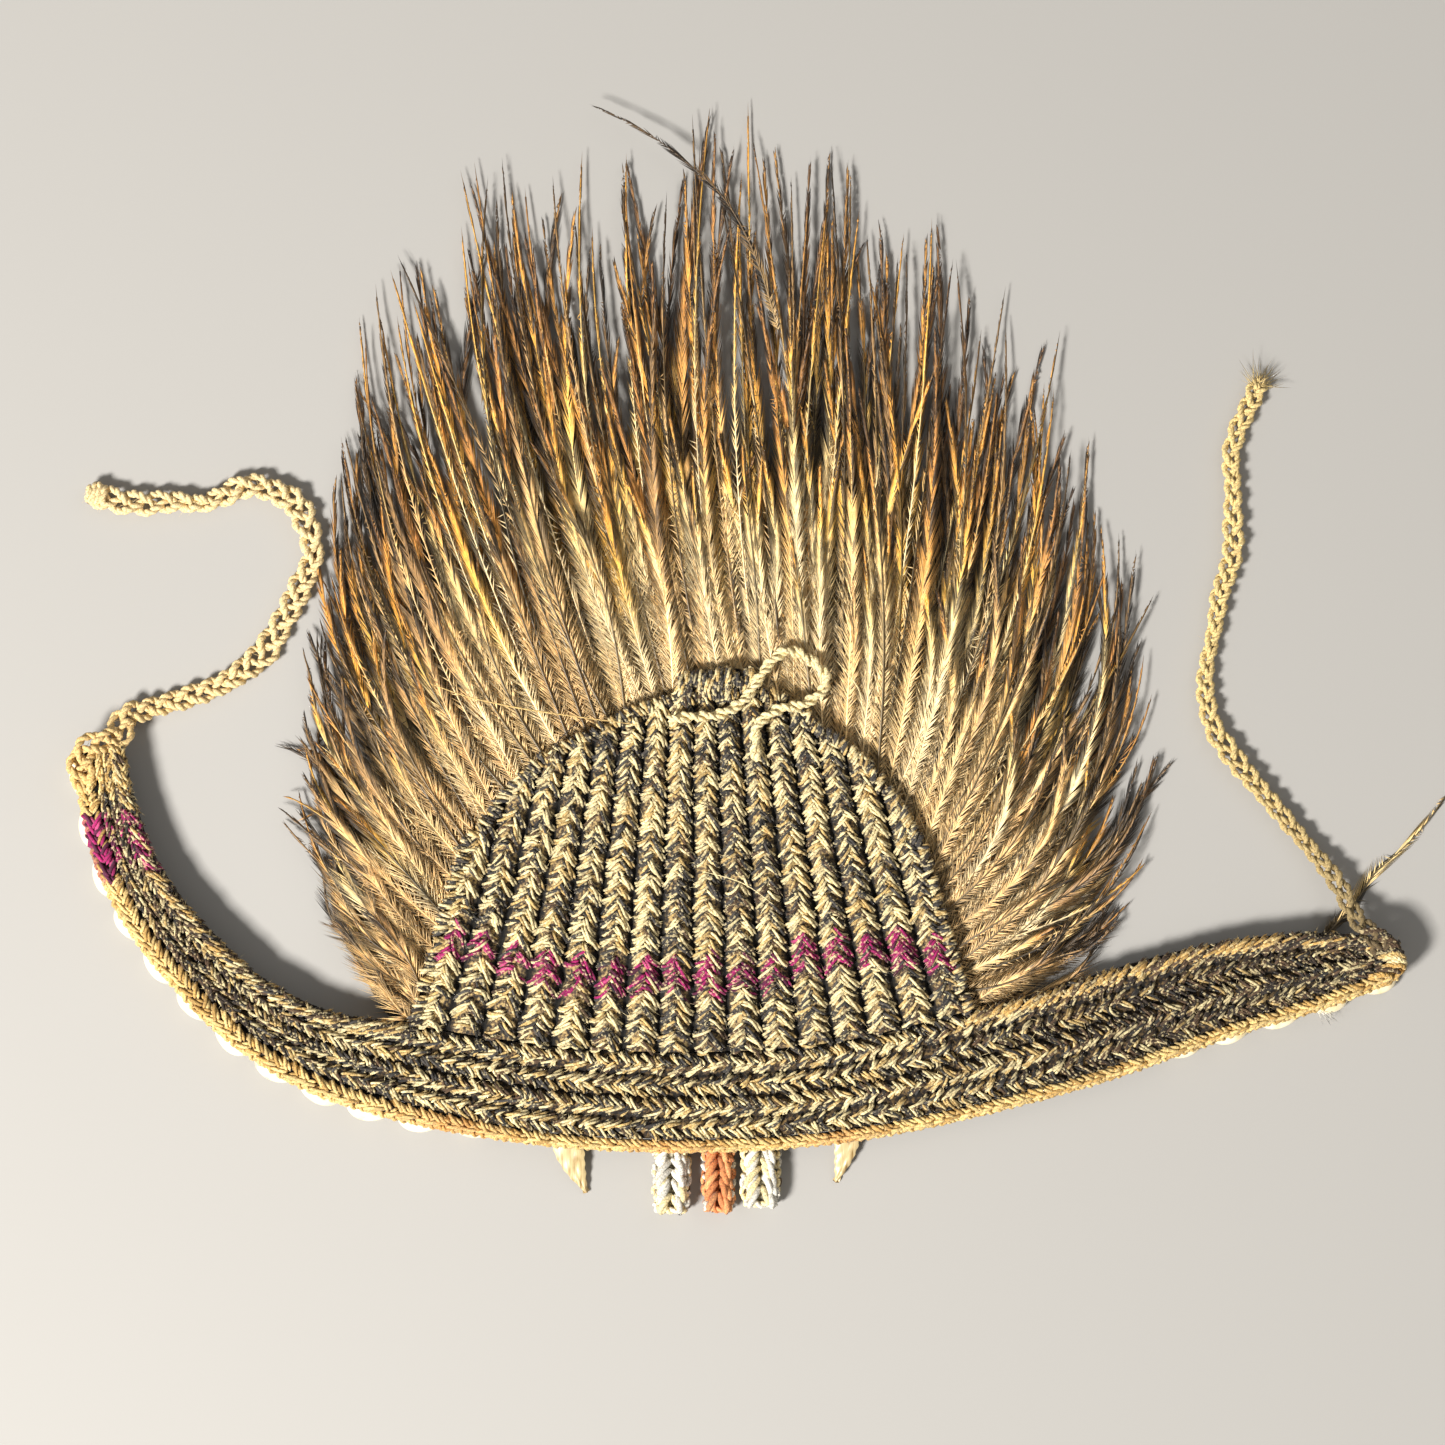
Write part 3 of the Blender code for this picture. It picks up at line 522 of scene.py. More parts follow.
def chevrons(track, length, pitch, slant, rng, reach, loose=1.0):
    """The two legs of every stitch along a track that maps across, along and height."""
    rows = int(length / pitch)
    t = np.linspace(0, 1, LEG_POINTS)[None, :]
    paths = []
    phase = rng.uniform(0.1, 0.9)

    def vary(spread):
        return rng.normal(0, spread * loose, (rows, 1))

    for side in (-1, 1):
        along0 = (np.arange(rows)[:, None] + phase + 0.12 * side + vary(0.16)) * pitch
        wide = reach * (1 + vary(0.06))
        across = side * (wide * (1 - t) - 0.12 * t ** 3) + vary(0.05)
        lean = slant * (1 + vary(0.16))
        bow = vary(0.10) * slant * np.sin(t * math.pi)
        along = along0 + lean * (t ** 1.2 - 0.6) + bow
        height = np.sin(np.minimum(t * 1.15, 1) * math.pi / 2) ** 0.8 - 0.30 * t ** 8 + vary(0.09)
        paths.append(track(across, np.clip(along, 0, length), height))
    return np.concatenate(paths)


def pick(rng, shares, dyes, count):
    """A dye for each of count plies, from a list of dyes and their shares."""
    choice = rng.choice(len(dyes), size=count, p=np.array(shares) / sum(shares))
    return np.array(dyes)[choice] * rng.uniform(0.72, 1.18, (count, 1))


def chance(rng, count, share):
    """True for about that share of count plies."""
    return rng.uniform(size=count) < share


def redyed(inside, new, old):
    """New dyes inside, the old ones elsewhere."""
    return np.where(inside[:, None], new, old)


def patchy(points, scale, seed):
    """Smooth noise from 0 to 1 over points of the cloth, for streaks of one yarn."""
    phase = np.random.default_rng(seed).uniform(0, 2 * math.pi, (6, 2))
    turn = np.random.default_rng(seed + 1).uniform(0, math.pi, 6)
    total = np.zeros(points.shape[:-1])
    for k in range(6):
        wave = points[..., 0] * math.cos(turn[k]) + points[..., 1] * math.sin(turn[k])
        wave = wave / scale * (1 + 0.35 * k)
        total = total + np.sin(2 * math.pi * wave + phase[k, 0]) * np.cos(wave * 2.3 + phase[k, 1])
    return np.clip(0.5 + total / 5, 0, 1)


# Columns: across the surface, middle of the magenta row there.
MAGENTA_ROW = np.array(((-0.113, -0.1015), (-0.098, -0.105), (-0.082, -0.112), (-0.040, -0.1155),
                        (0.002, -0.1145), (0.018, -0.107), (0.045, -0.1045), (0.064, -0.106)))
MAGENTA_HALF = 0.0058


def panel_dyes(points, rng):
    """Cream and grey plies in streaks, with the magenta row across."""
    count = len(points)
    cream_share = 0.44 + 0.80 * (patchy(points, 0.045, 3) - 0.5) + 0.26 * patchy(points, 0.014, 5)
    cream_share = cream_share + 0.22 * np.clip((-0.03 - points[:, 0]) / 0.06, 0, 1)
    is_cream = chance(rng, count, cream_share)
    light = pick(rng, (7, 2), (CREAM, STRAW), count)
    dye = redyed(is_cream, light, pick(rng, (6, 3, 2), (GREY, SLATE, BROWN), count))
    middle = np.interp(points[:, 0], *MAGENTA_ROW.T)
    inside = np.abs(points[:, 1] - middle) < MAGENTA_HALF + rng.normal(0, 0.0013, count)
    pink = inside & chance(rng, count, 0.86)
    return redyed(pink, pick(rng, (6, 3, 1), (MAGENTA, PLUM, ROSE), count), dye)


# The magenta patch across the left arm, and the places along the edging that are
# orange, each with its half width, as shares of the band's length.
PATCH_LOW, PATCH_HIGH, PATCH_RIGHT = -0.0765, -0.0567, -0.19
WARM_PLACES = ((0.36, 0.035), (0.50, 0.03), (0.61, 0.022))
NATURAL_END = 0.016      # how far undyed fibre runs from the left end


def on_patch(points, more=0.0):
    """Whether points lie on the magenta patch."""
    return (points[:, 1] > PATCH_LOW - more) & (points[:, 1] < PATCH_HIGH) & (points[:, 0] < PATCH_RIGHT)


def band_dyes(points, rng):
    """Like the panel in the middle, dark brown towards both ends."""
    count = len(points)
    along = BAND.nearest(points)
    share = along / BAND.length
    arm = np.clip(np.maximum((0.30 - share) / 0.10, (share - 0.68) / 0.12), 0, 1)
    cream_share = 0.62 - 0.38 * arm + 0.40 * (patchy(points, 0.040, 11) - 0.5)
    is_cream = chance(rng, count, cream_share)
    light = pick(rng, (6, 4), (CREAM, STRAW), count) * (1 - 0.28 * arm[:, None])
    dark_mid = pick(rng, (5, 3, 2), (GREY, SLATE, BROWN), count)
    dark_arm = pick(rng, (2, 4, 4), (SLATE, EARTH, BROWN), count)
    dark = redyed(chance(rng, count, arm), dark_arm, dark_mid)
    dye = redyed(is_cream, light, dark)
    pink = on_patch(points) & chance(rng, count, 0.52)
    dye = redyed(pink, pick(rng, (5, 4), (MAGENTA, PLUM), count), dye)
    undyed = (along < NATURAL_END) & chance(rng, count, 0.85)
    return redyed(undyed, pick(rng, (6, 3), (NATURAL, HONEY), count), dye)


def edging_dyes(points, rng, along=None):
    """Undyed fibre with orange places, magenta and honey on the patch."""
    count = len(points)
    dye = pick(rng, (7, 3), (NATURAL, HONEY), count)
    share = (BAND.nearest(points) if along is None else along) / BAND.length
    warm = sum(np.exp(-((share - middle) / spread) ** 2) for middle, spread in WARM_PLACES)[:, None]
    dye = dye * (1 - 0.40 * warm) + np.array(ORANGE) * 0.40 * warm
    patch = pick(rng, (5, 4, 1, 3), (MAGENTA, PLUM, ROSE, HONEY), count)
    return redyed(on_patch(points, more=0.003), patch, dye)


def add_node(tree, kind, settings=(), links=()):
    """One node with its settings, linked to what feeds it."""
    node = tree.nodes.new(kind)
    for name, value in dict(settings).items():
        if isinstance(name, str) and hasattr(node, name):
            setattr(node, name, value)
        else:
            node.inputs[name].default_value = value
    for source, output, target in links:
        tree.links.new(source.outputs[output], node.inputs[target])
    return node


def new_material(name, roughness, sheen=0.0, ior=1.5, coat=0.0):
    """A material, its tree and its shader."""
    made = bpy.data.materials.new(name)
    made.use_nodes = True
    tree = made.node_tree
    shader = tree.nodes["Principled BSDF"]
    shader.inputs["Roughness"].default_value = roughness
    shader.inputs["IOR"].default_value = ior
    shader.inputs["Sheen Weight"].default_value = sheen
    shader.inputs["Coat Weight"].default_value = coat
    return made, tree, shader


FIBRE_DEPTH = 0.00022    # how deep the grooves between fibres look
FLECK_MM = 1.3


def noise_of(tree, source, output, scale, detail, roughness=0.5):
    """A noise over the places that a node puts out."""
    settings = {"Scale": scale, "Detail": detail, "Roughness": roughness}
    return add_node(tree, "ShaderNodeTexNoise", settings, [(source, output, "Vector")])


def range_of(tree, source, output, start, end, low, high):
    """Values from start to end, made to run from low to high."""
    settings = {"From Min": start, "From Max": end, "To Min": low, "To Max": high}
    return add_node(tree, "ShaderNodeMapRange", settings, [(source, output, "Value")])


def ramp_of(tree, noise, marks):
    """Colours over a noise, from each mark's place and hex value."""
    ramp = add_node(tree, "ShaderNodeValToRGB", {}, [(noise, "Fac", "Fac")])
    points = ramp.color_ramp.elements
    if len(marks) > 2:
        points.new(0.5)
    for point, (place, code) in zip(points, marks):
        point.position = place
        point.color = (*colour(code), 1)
    return ramp


def scaled(tree, source, by):
    """A colour made lighter or darker."""
    links = [(source, "Color", 0), (by, "Result", "Scale")]
    return add_node(tree, "ShaderNodeVectorMath", {"operation": "SCALE"}, links)


def own_dye(tree, fine, low, high):
    """The dye that every point carries, lighter and darker with a fine noise."""
    dye = add_node(tree, "ShaderNodeAttribute", {"attribute_name": "dye"})
    return scaled(tree, dye, range_of(tree, fine, "Fac", 0.30, 0.70, low, high))


def bump_from(tree, shader, noise, strength, depth):
    """The small relief that a noise gives the surface."""
    settings = {"Strength": strength, "Distance": depth}
    bump = add_node(tree, "ShaderNodeBump", settings, [(noise, "Fac", "Height")])
    tree.links.new(bump.outputs["Normal"], shader.inputs["Normal"])


def fibre_material(name, roughness, fibre_mm, sheen, flecks=0.0):
    """Spun plant fibre: each ply has its own dye, with fine fibres and flecks of the other yarn."""
    made, tree, shader = new_material(name, roughness, sheen)
    place = add_node(tree, "ShaderNodeTexCoord")
    fine = noise_of(tree, place, "Object", 1000 / fibre_mm, 3.0, 0.6)
    # Fine streaks lighter and darker: partly the fibres' own tones, partly painted shade and highlight between the
    # fibres.
    last = own_dye(tree, fine, 0.38, 1.42).outputs["Vector"]
    if flecks:
        # Flecks of dark yarn on light plies and of light yarn on dark ones.
        for number, other in enumerate((EARTH, CREAM)):
            settings = {"Location": (number * 0.37, 0.0, 0.0)}
            moved = add_node(tree, "ShaderNodeMapping", settings, [(place, "Object", "Vector")])
            spots = noise_of(tree, moved, "Vector", 1000 / FLECK_MM, 1.0)
            share = range_of(tree, spots, "Fac", 0.55, 0.62, 0.0, flecks)
            mix = add_node(tree, "ShaderNodeMix", {"data_type": "RGBA"}, [(share, "Result", 0)])
            tree.links.new(last, mix.inputs[6])
            mix.inputs[7].default_value = (*other, 1)
            last = mix.outputs[2]
    tree.links.new(last, shader.inputs["Base Color"])
    bump_from(tree, shader, fine, 0.7, FIBRE_DEPTH)
    return made


def ground_material(name, dyes, low=-1.0, high=0.0):
    """The cloth between the stitches: short flecks of the same yarns, black down in the grooves. Both are painted
    shade: the flecks darker than the yarns, the grooves black below low and lighter up to high.
    """
    made, tree, shader = new_material(name, 0.95, 0.1)
    place = add_node(tree, "ShaderNodeTexCoord")
    flecks = noise_of(tree, place, "Object", 1 / 0.0012, 2.0)
    ramp = ramp_of(tree, flecks, tuple(zip((0.38, 0.50, 0.62), dyes)))
    parts = add_node(tree, "ShaderNodeSeparateXYZ", {}, [(place, "Object", "Vector")])
    # Painted shade: almost black below low, rising to the full fleck dyes at high.
    lit = scaled(tree, ramp, range_of(tree, parts, "Z", low, high, 0.02, 1.0))
    tree.links.new(lit.outputs["Vector"], shader.inputs["Base Color"])
    bump_from(tree, shader, flecks, 0.8, 0.0005)
    return made


def feather_material():
    """Feather barbs: keratin with a soft gloss, its colour carried by each barb."""
    made, tree, shader = new_material("brown_feather", 0.44, 0.10, 1.54)
    place = add_node(tree, "ShaderNodeTexCoord")
    barbs = own_dye(tree, noise_of(tree, place, "Object", 420.0, 2.0), 0.75, 1.2)
    tree.links.new(barbs.outputs["Vector"], shader.inputs["Base Color"])
    return made


def shell_material():
    """Cowrie: polished shell, ivory with faint yellow clouds."""
    made, tree, shader = new_material("cowrie_shell", 0.22, 0.0, 1.55, 0.25)
    place = add_node(tree, "ShaderNodeTexCoord")
    cloud = noise_of(tree, place, "Object", 180.0, 3.0)
    ramp = ramp_of(tree, cloud, ((0.30, "#ecd8a4"), (0.55, "#fdf1d0")))
    tree.links.new(ramp.outputs["Color"], shader.inputs["Base Color"])
    return made


def tooth_material():
    """Old tooth: satin cream enamel with brown cracks along it."""
    made, tree, shader = new_material("old_tooth", 0.38, 0.0, 1.6, 0.1)
    place = add_node(tree, "ShaderNodeTexCoord")
    settings = {"Scale": (900.0, 110.0, 300.0)}
    stretch = add_node(tree, "ShaderNodeMapping", settings, [(place, "Object", "Vector")])
    streaks = noise_of(tree, stretch, "Vector", 1.0, 4.0)
    ramp = ramp_of(tree, streaks, ((0.28, "#86652f"), (0.52, "#cfb988")))
    tree.links.new(ramp.outputs["Color"], shader.inputs["Base Color"])
    bump_from(tree, shader, streaks, 0.4, 0.0003)
    return made


def own_form(node, name, finish, slot, move):
    """A copy of a node's own form, each of its points moved."""
    mesh = frame["nodes"][node].data.copy()
    shape = bmesh.new()
    shape.from_mesh(mesh)
    bmesh.ops.remove_doubles(shape, verts=shape.verts, dist=0.00002)
    middle = sum((vert.co for vert in shape.verts), Vector()) / len(shape.verts)
    for vert in shape.verts:
        move(vert.co, middle)
    shape.to_mesh(mesh)
    shape.free()
    mesh.name = name
    mesh.materials.clear()
    mesh.materials.append(finish)
    return linked(name, mesh, slot, node)


CROWN_RISE = 0.0056      # from the cloth's underside to its crowns


def ground_cloth(node, name, finish, slot, sink):
    """The cloth under the stitches, with its crowns a little lower."""

    def lower(spot, _):
        spot.z -= sink * max(0.0, (spot.z - CLOTH_UNDER) / CROWN_RISE)

    return own_form(node, name, finish, slot, lower)


def loose_hairs(strands, plies, dye, count, rng):
    """Fine fibres that have come loose from the stitches and lie over them."""
    ply, step = rng.integers(0, len(plies), count), rng.integers(1, plies.shape[1] - 1, count)
    root = plies[ply, step]
    swing = rng.uniform(0, 2 * math.pi, count)
    way = pointing(swing, rng.uniform(0.02, 0.32, count))
    tip = root + way * rng.uniform(0.0012, 0.0042, count)[:, None]
    tone = np.minimum(dye[ply] * 0.55 + np.array(CREAM) * 0.50, 1.0)
    strands.add_spikes(root, tip, 0.00026, tone)


# Columns: spacing of the stitches along a row, slant and reach of their legs,
# how far the plies lie from a leg's middle, radius of a ply.
PANEL_STITCH = (0.0029, 0.0054, 0.90, 0.00064, 0.00062)
BAND_STITCH = (0.0033, 0.0050, 0.91, 0.00062, 0.00058)
EDGING_STITCH = (0.0036, 0.0052, 0.86, 0.00075, 0.00068)
LEG_SHARES = np.linspace(0, 1, LEG_POINTS)
# Height of the middle of a leg's foot, and how far the leg rises over it.
PANEL_LEG = (FURROW - 0.0006, 0.0026)
BAND_LEG = (FURROW, 0.0022)
EDGING_LEG = (0.0086, 0.0026)
WRAP_PITCH, WRAP_SLANT, WRAP_HEIGHT = 0.0031, 0.0078, 0.0112


def stitch_row(strands, track, length, sizes, dyes, shade, rng, loose=1.0, way=1, hairs=None, sides=4):
    """A row of stitches, each leg's dyes times shade, a painted shade along it. hairs says how many there are to how
    many plies.
    """
    pitch, slant, reach, offset, radius = sizes
    plies = plied(chevrons(track, length, pitch, slant * way, rng, reach, loose), 3, offset, 0.5)
    dye = dyes(plies[:, 3, :2], rng)
    strands.add(plies, radius, dye[:, None, :] * shade[None, :, None], sides)
    if hairs:
        loose_hairs(strands, plies, dye, int(hairs[0] * len(plies) / hairs[1]), rng)


def panel_stitches(finish):
    """Ribs of stitches up the panel, looser at its left."""
    rng = np.random.default_rng(SEED)
    strands = Strands()
    spread = math.tan(FAN_SLOPE / RIBS)
    # Painted shade: each leg darker towards its foot in the furrow, full at its crown.
    shade = 0.50 + 0.55 * LEG_SHARES ** 0.6
    for rib in range(RIBS):
        foot, top = fan_lines(np.array([(2 * rib + 1) / RIBS - 1]))
        way = unit(top - foot)[0]

        def track(across, along, height, foot=foot[0], way=way):
            middle = foot + way * along[..., None]
            half = np.linalg.norm(FAN_HUB - middle, axis=-1) * spread
            spot = middle + np.array((way[1], -way[0])) * (across * half)[..., None]
            return raised(spot, PANEL_LEG[0] + PANEL_LEG[1] * height)

        stitch_row(strands, track, float(np.linalg.norm(top - foot)), PANEL_STITCH, panel_dyes, shade, rng,
                   loose=1.2 + 0.9 * math.exp(-rib / 4), hairs=(2.2, 6))
    return strands.make("panel_stitches", finish, "looped_fibre")


def band_stitches(finish):
    """Ridges of stitches along the headband, every other one slanted the other way."""
    rng = np.random.default_rng(SEED + 1)
    strands = Strands()
    # Painted shade: each leg darker towards its foot in the furrow, full at its crown.
    shade = 0.42 + 0.62 * LEG_SHARES ** 0.6
    for ridge in range(RIDGES):

        def track(across, along, height, ridge=ridge):
            edging = BAND.look(BAND.edging, along)
            width = BAND.upper_rim(along) - edging
            spot = BAND.point(along, edging + width * (ridge + 0.5 + across / 2) / RIDGES)
            return raised(spot, BAND_LEG[0] + BAND_LEG[1] * height)

        stitch_row(strands, track, BAND.length, BAND_STITCH, band_dyes, shade, rng,
                   loose=1.5, way=1 if ridge % 2 else -1, hairs=(1, 4))
    return strands.make("headband_stitches", finish, "looped_fibre")


def upper_whipping(finish):
    """Slanted wraps over the upper rim of both arms."""
    rng = np.random.default_rng(SEED + 2)
    strands = Strands()
    start = (np.arange(int(BAND.length / WRAP_PITCH)) + 0.5) * WRAP_PITCH
    upper = BAND.point(start, BAND.upper_rim(start))
    slope = np.arctan2(upper[:, 0] - FAN_HUB[0], FAN_HUB[1] - upper[:, 1])
    start = start[np.abs(slope) > FAN_SLOPE * 0.985]

    def vary(middle, spread):
        return rng.normal(middle, spread, (len(start), 1))

    t = np.linspace(0, 1, 8)[None, :]
    along = start[:, None] + WRAP_SLANT * (t - 0.5) * vary(1, 0.14) + vary(0, 0.0005)
    along = np.clip(along, 0, BAND.length)
    over = np.sin(t * math.pi)
    from_rim = BAND.upper_rim(along) - 0.0048 + 0.0050 * t + 0.0002 * over + vary(0, 0.0003)
    height = np.broadcast_to(WRAP_HEIGHT + 0.0024 * over ** 0.7 - 0.0034 * t ** 3, along.shape)
    plies = plied(raised(BAND.point(along, from_rim), height), 3, 0.00060, 0.8)
    count, place = len(plies), np.tile(start, 3)
    dye = pick(rng, (3, 3, 4, 2), (STRAW, HONEY, BROWN, CREAM), count) * 0.82
    dye = redyed(place > BAND.length * 0.55, pick(rng, (4, 5, 3), (STRAW, HONEY, BROWN), count), dye)
    near_end = (place > BAND.length * 0.93) & chance(rng, count, 0.6)
    dye = redyed(near_end, pick(rng, (2, 3), (EARTH, BROWN), count), dye)
    dark = chance(rng, count, 0.32) & (place < BAND.length * 0.4) & (place > 0.080)
    dye = redyed(dark, pick(rng, (1, 1), (EARTH, GREY), count), dye)
    pink = on_patch(plies[:, 4, :2]) & chance(rng, count, 0.6)
    dye = redyed(pink, pick(rng, (5, 4), (MAGENTA, PLUM), count), dye)
    strands.add(plies, 0.00056, dye[:, None, :], sides=5)
    loose_hairs(strands, plies, dye, 320, rng)
    return strands.make("upper_whipping", finish, "looped_fibre")


# Loops of yarn round the band's right end: down, reach to the right, dye.
END_LOOPS = (
    (931, 1383, BROWN), (936, 1389, EARTH), (941, 1394, BROWN), (946, 1397, BROWN), (951, 1400, EARTH),
    (956, 1402, STRAW), (961, 1403, CREAM), (966, 1402, HONEY), (971, 1397, BROWN), (976, 1389, HONEY),
)


def end_loops(finish):
    """The last stitches, cast off over the right end in uneven loops."""
    rng = np.random.default_rng(SEED + 8)
    strands = Strands()
    for down, right, dye in END_LOOPS:
        for turn in range(2):
            left = right - rng.uniform(18, 30)
            slip = rng.uniform(-2, 2, 2)
            route = ((left, down + slip[0], 0.0128), ((left + right) / 2, down - 3 + slip[0], 0.0140),
                     (right - 3, down - 1, 0.0134), (right, down + 2, 0.0108),
                     (right - 1, down + 5 + slip[1], 0.0084), (right - 8, down + 7 + slip[1], 0.0072))
            line, _ = even_route([pixel(*spot) for spot in route], 0.0009)
            tone = np.array(dye) * rng.uniform(0.75, 1.15)
            add_strand(strands, line, 0.00052, 0.00042, 0.0050, tone, rng, sides=5, plies=3)
    return strands.make("right_end_loops", finish, "looped_fibre")


def edging_stitches(finish):
    """The row of stitches along the lower edging."""
    rng = np.random.default_rng(SEED + 3)
    strands = Strands()

    def track(across, along, height):
        spot = BAND.point(along, BAND.look(BAND.edging, along) * (0.5 + across / 2))
        return raised(spot, EDGING_LEG[0] + EDGING_LEG[1] * height)

    # Painted shade: each leg a quarter darker at its foot than at its crown.
    shade = np.linspace(0.75, 1.0, LEG_POINTS)
    stitch_row(strands, track, BAND.length, EDGING_STITCH, edging_dyes, shade, rng, sides=5)
    return strands.make("lower_edging_stitches", finish, "natural_fibre")


def around(line, turn, offset):
    """A line that winds round another one, at an angle for each of its points."""
    _, side, lift = frame_along(line)
    return line + side * (offset * np.cos(turn))[:, None] + lift * (offset * np.sin(turn))[:, None]


RIM_LAY, LOOP_LAY = 0.0072, 0.0125   # length of a turn of the rim's strands and of the loop's


def rim_twist(finish):
    """Two strands laid round each other along the lower rim, which give it its scallops."""
    rng = np.random.default_rng(SEED + 5)
    strands = Strands()
    along = np.linspace(0.0012, BAND.length - 0.0012, int(BAND.length / 0.0007))
    spot = BAND.point(along, np.clip(BAND.look(BAND.edging, along) * 0.16, 0.0008, 0.0014))
    line = raised(spot, np.full(len(spot), 0.0090))
    for k in range(2):
        centre = around(line, 2 * math.pi * (along / RIM_LAY + k / 2), 0.00095)
        dye = edging_dyes(centre[:, :2], rng, along)
        dye = sum(np.roll(dye, step, 0) for step in range(4)) / 4
        add_strand(strands, centre, 0.00072, 0.00050, 0.0050, dye, rng, sides=5)
    return strands.make("lower_rim_twist", finish, "natural_fibre")


STUB_KNOTS = 46          # stitches gathered over the stub's top
BORDER_PITCH = 0.0024


def panel_border(finish):
    """Knotty wraps over the panel's free edge, where its ribs end among the feathers."""
    rng = np.random.default_rng(SEED + 6)
    strands = Strands()
    crest = Crest()
    length = length_of(crest.edge)
    count = int(length / BORDER_PITCH)
    share = (np.arange(count) + rng.uniform(0.2, 0.8, count)) / count
    t = np.linspace(0, 1, 7)[None, :]
    stub = FAN_TOP[in_stub(FAN_SHARES)]
    knots = (STUB_KNOTS, 1)
    places = rng.uniform(0, len(stub) - 1, STUB_KNOTS)[:, None] + rng.normal(0, 2, knots) * (t - 0.5)
    over = np.interp(places, np.arange(len(stub)), stub[:, 0])
    back = np.interp(over, *stub[np.argsort(stub[:, 0])].T)
    back = back + 0.0012 - 0.0062 * t - rng.uniform(0, 0.0045, knots)
    rise = 0.0090 + 0.0052 * np.sin(math.pi * (0.10 + 0.75 * t)) + rng.normal(0, 0.0004, knots)
    top = plied(np.stack((over, back, rise), -1), 3, 0.00062, 0.6)
    dye = pick(rng, (3, 2, 5, 3), (CREAM, STRAW, GREY, EARTH), len(top)) * 0.9
    strands.add(top, 0.00058, dye[:, None, :], sides=5)
    here = share[:, None] + rng.normal(0.0024, 0.0016, (count, 1)) / length * (t - 0.5)
    spot, outward = crest.at(here), crest.outward(here, 0.004)
    spot = spot + outward * (0.0016 - 0.0050 * t + rng.normal(0, 0.0005, (count, 1)))[..., None]
    height = 0.0094 + 0.0030 * np.sin(math.pi * (0.15 + 0.75 * t)) + rng.normal(0, 0.0004, (count, 1))
    plies = plied(raised(spot, height), 3, 0.00066, 0.6)
    dye = pick(rng, (4, 3, 4, 2), (CREAM, STRAW, GREY, EARTH), len(plies)) * 0.85
    strands.add(plies, 0.00060, dye[:, None, :], sides=5)
    return strands.make("panel_border", finish, "looped_fibre")


def cowrie_mesh(finish):
    """One cowrie: an egg-shaped shell with a toothed slit along its open side."""
    bpy.ops.object.select_all(action="DESELECT")
    bpy.ops.mesh.primitive_uv_sphere_add(segments=28, ring_count=16, radius=0.5, location=(0, 0, 0))
    made = bpy.context.object
    bpy.ops.object.mode_set(mode="EDIT")
    bpy.ops.mesh.select_all(action="SELECT")
    bpy.ops.transform.rotate(value=math.pi / 2, orient_axis="Y", center_override=(0, 0, 0))
    bpy.ops.transform.resize(value=(SHELL_LENGTH, SHELL_WIDTH * 1.02, SHELL_HEIGHT * 1.12))
    bpy.ops.object.mode_set(mode="OBJECT")
    half = SHELL_LENGTH / 2
    for vert in made.data.vertices:
        x, y, z = vert.co
        y *= 1.0 + 0.12 * x / half
        if z < 0:
            z *= 0.80
            slit = math.exp(-(y / 0.0009) ** 2) * max(0.0, 1 - (x / half) ** 4)
            ridges = 0.5 + 0.5 * math.cos(x * 2 * math.pi / 0.0016)
            lips = math.exp(-((abs(y) - 0.0018) / 0.0012) ** 2) * max(0.0, 1 - (x / half) ** 2)
            z += 0.0016 * slit + 0.0003 * ridges * lips
        vert.co = (x, y, z)
    low = min(vert.co.z for vert in made.data.vertices)
    for vert in made.data.vertices:
        vert.co.z -= low
    bpy.ops.object.shade_smooth()
    made.data.materials.append(finish)
    return made


def cowries(finish):
    """A shell in the place of each of the solid ones, turned, flipped and sized a little."""
    rng = np.random.default_rng(SEED + 4)
    first = cowrie_mesh(finish)
    for name in sorted(name for name in frame["nodes"] if name.startswith("cowrie_")):
        low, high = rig.box(name)
        middle = (low + high) / 2
        across = BAND.look(BAND.across, BAND.nearest(np.array([[middle.x, middle.y]])))[0]
        turn = math.atan2(across[1], across[0]) - math.pi / 2 + rng.normal(0, 0.05)
        flip = math.pi if rng.uniform() < 0.5 else 0.0
        size = rng.uniform(0.96, 1.03)
        place = Matrix.Translation((middle.x, middle.y, 0.0)) @ Matrix.Rotation(turn + flip, 4, "Z")
        mesh = first.data.copy()
        mesh.transform(place @ Matrix.Diagonal((size, size * rng.uniform(0.96, 1.04), 1.0, 1.0)))
        linked(name.replace("cowrie_", "cowrie_shell_"), mesh, "cowrie_shell", name)
    bpy.data.objects.remove(first, do_unlink=True)


# Columns: place along the tooth, its width. As in the solids.
TOOTH_OUTLINE = np.array(((0.0, 1.0), (0.35, 0.90), (0.65, 0.62), (0.88, 0.28), (1.0, 0.05)))
# The teeth: node, width, length, how far the tip lies to the side.
TEETH = (("tooth_left", 0.0119, 0.0176, 0.0068), ("tooth_right", 0.0094, 0.0160, -0.0043))
TOOTH_TUCK, TOOTH_THICK = 0.0040, 0.0018


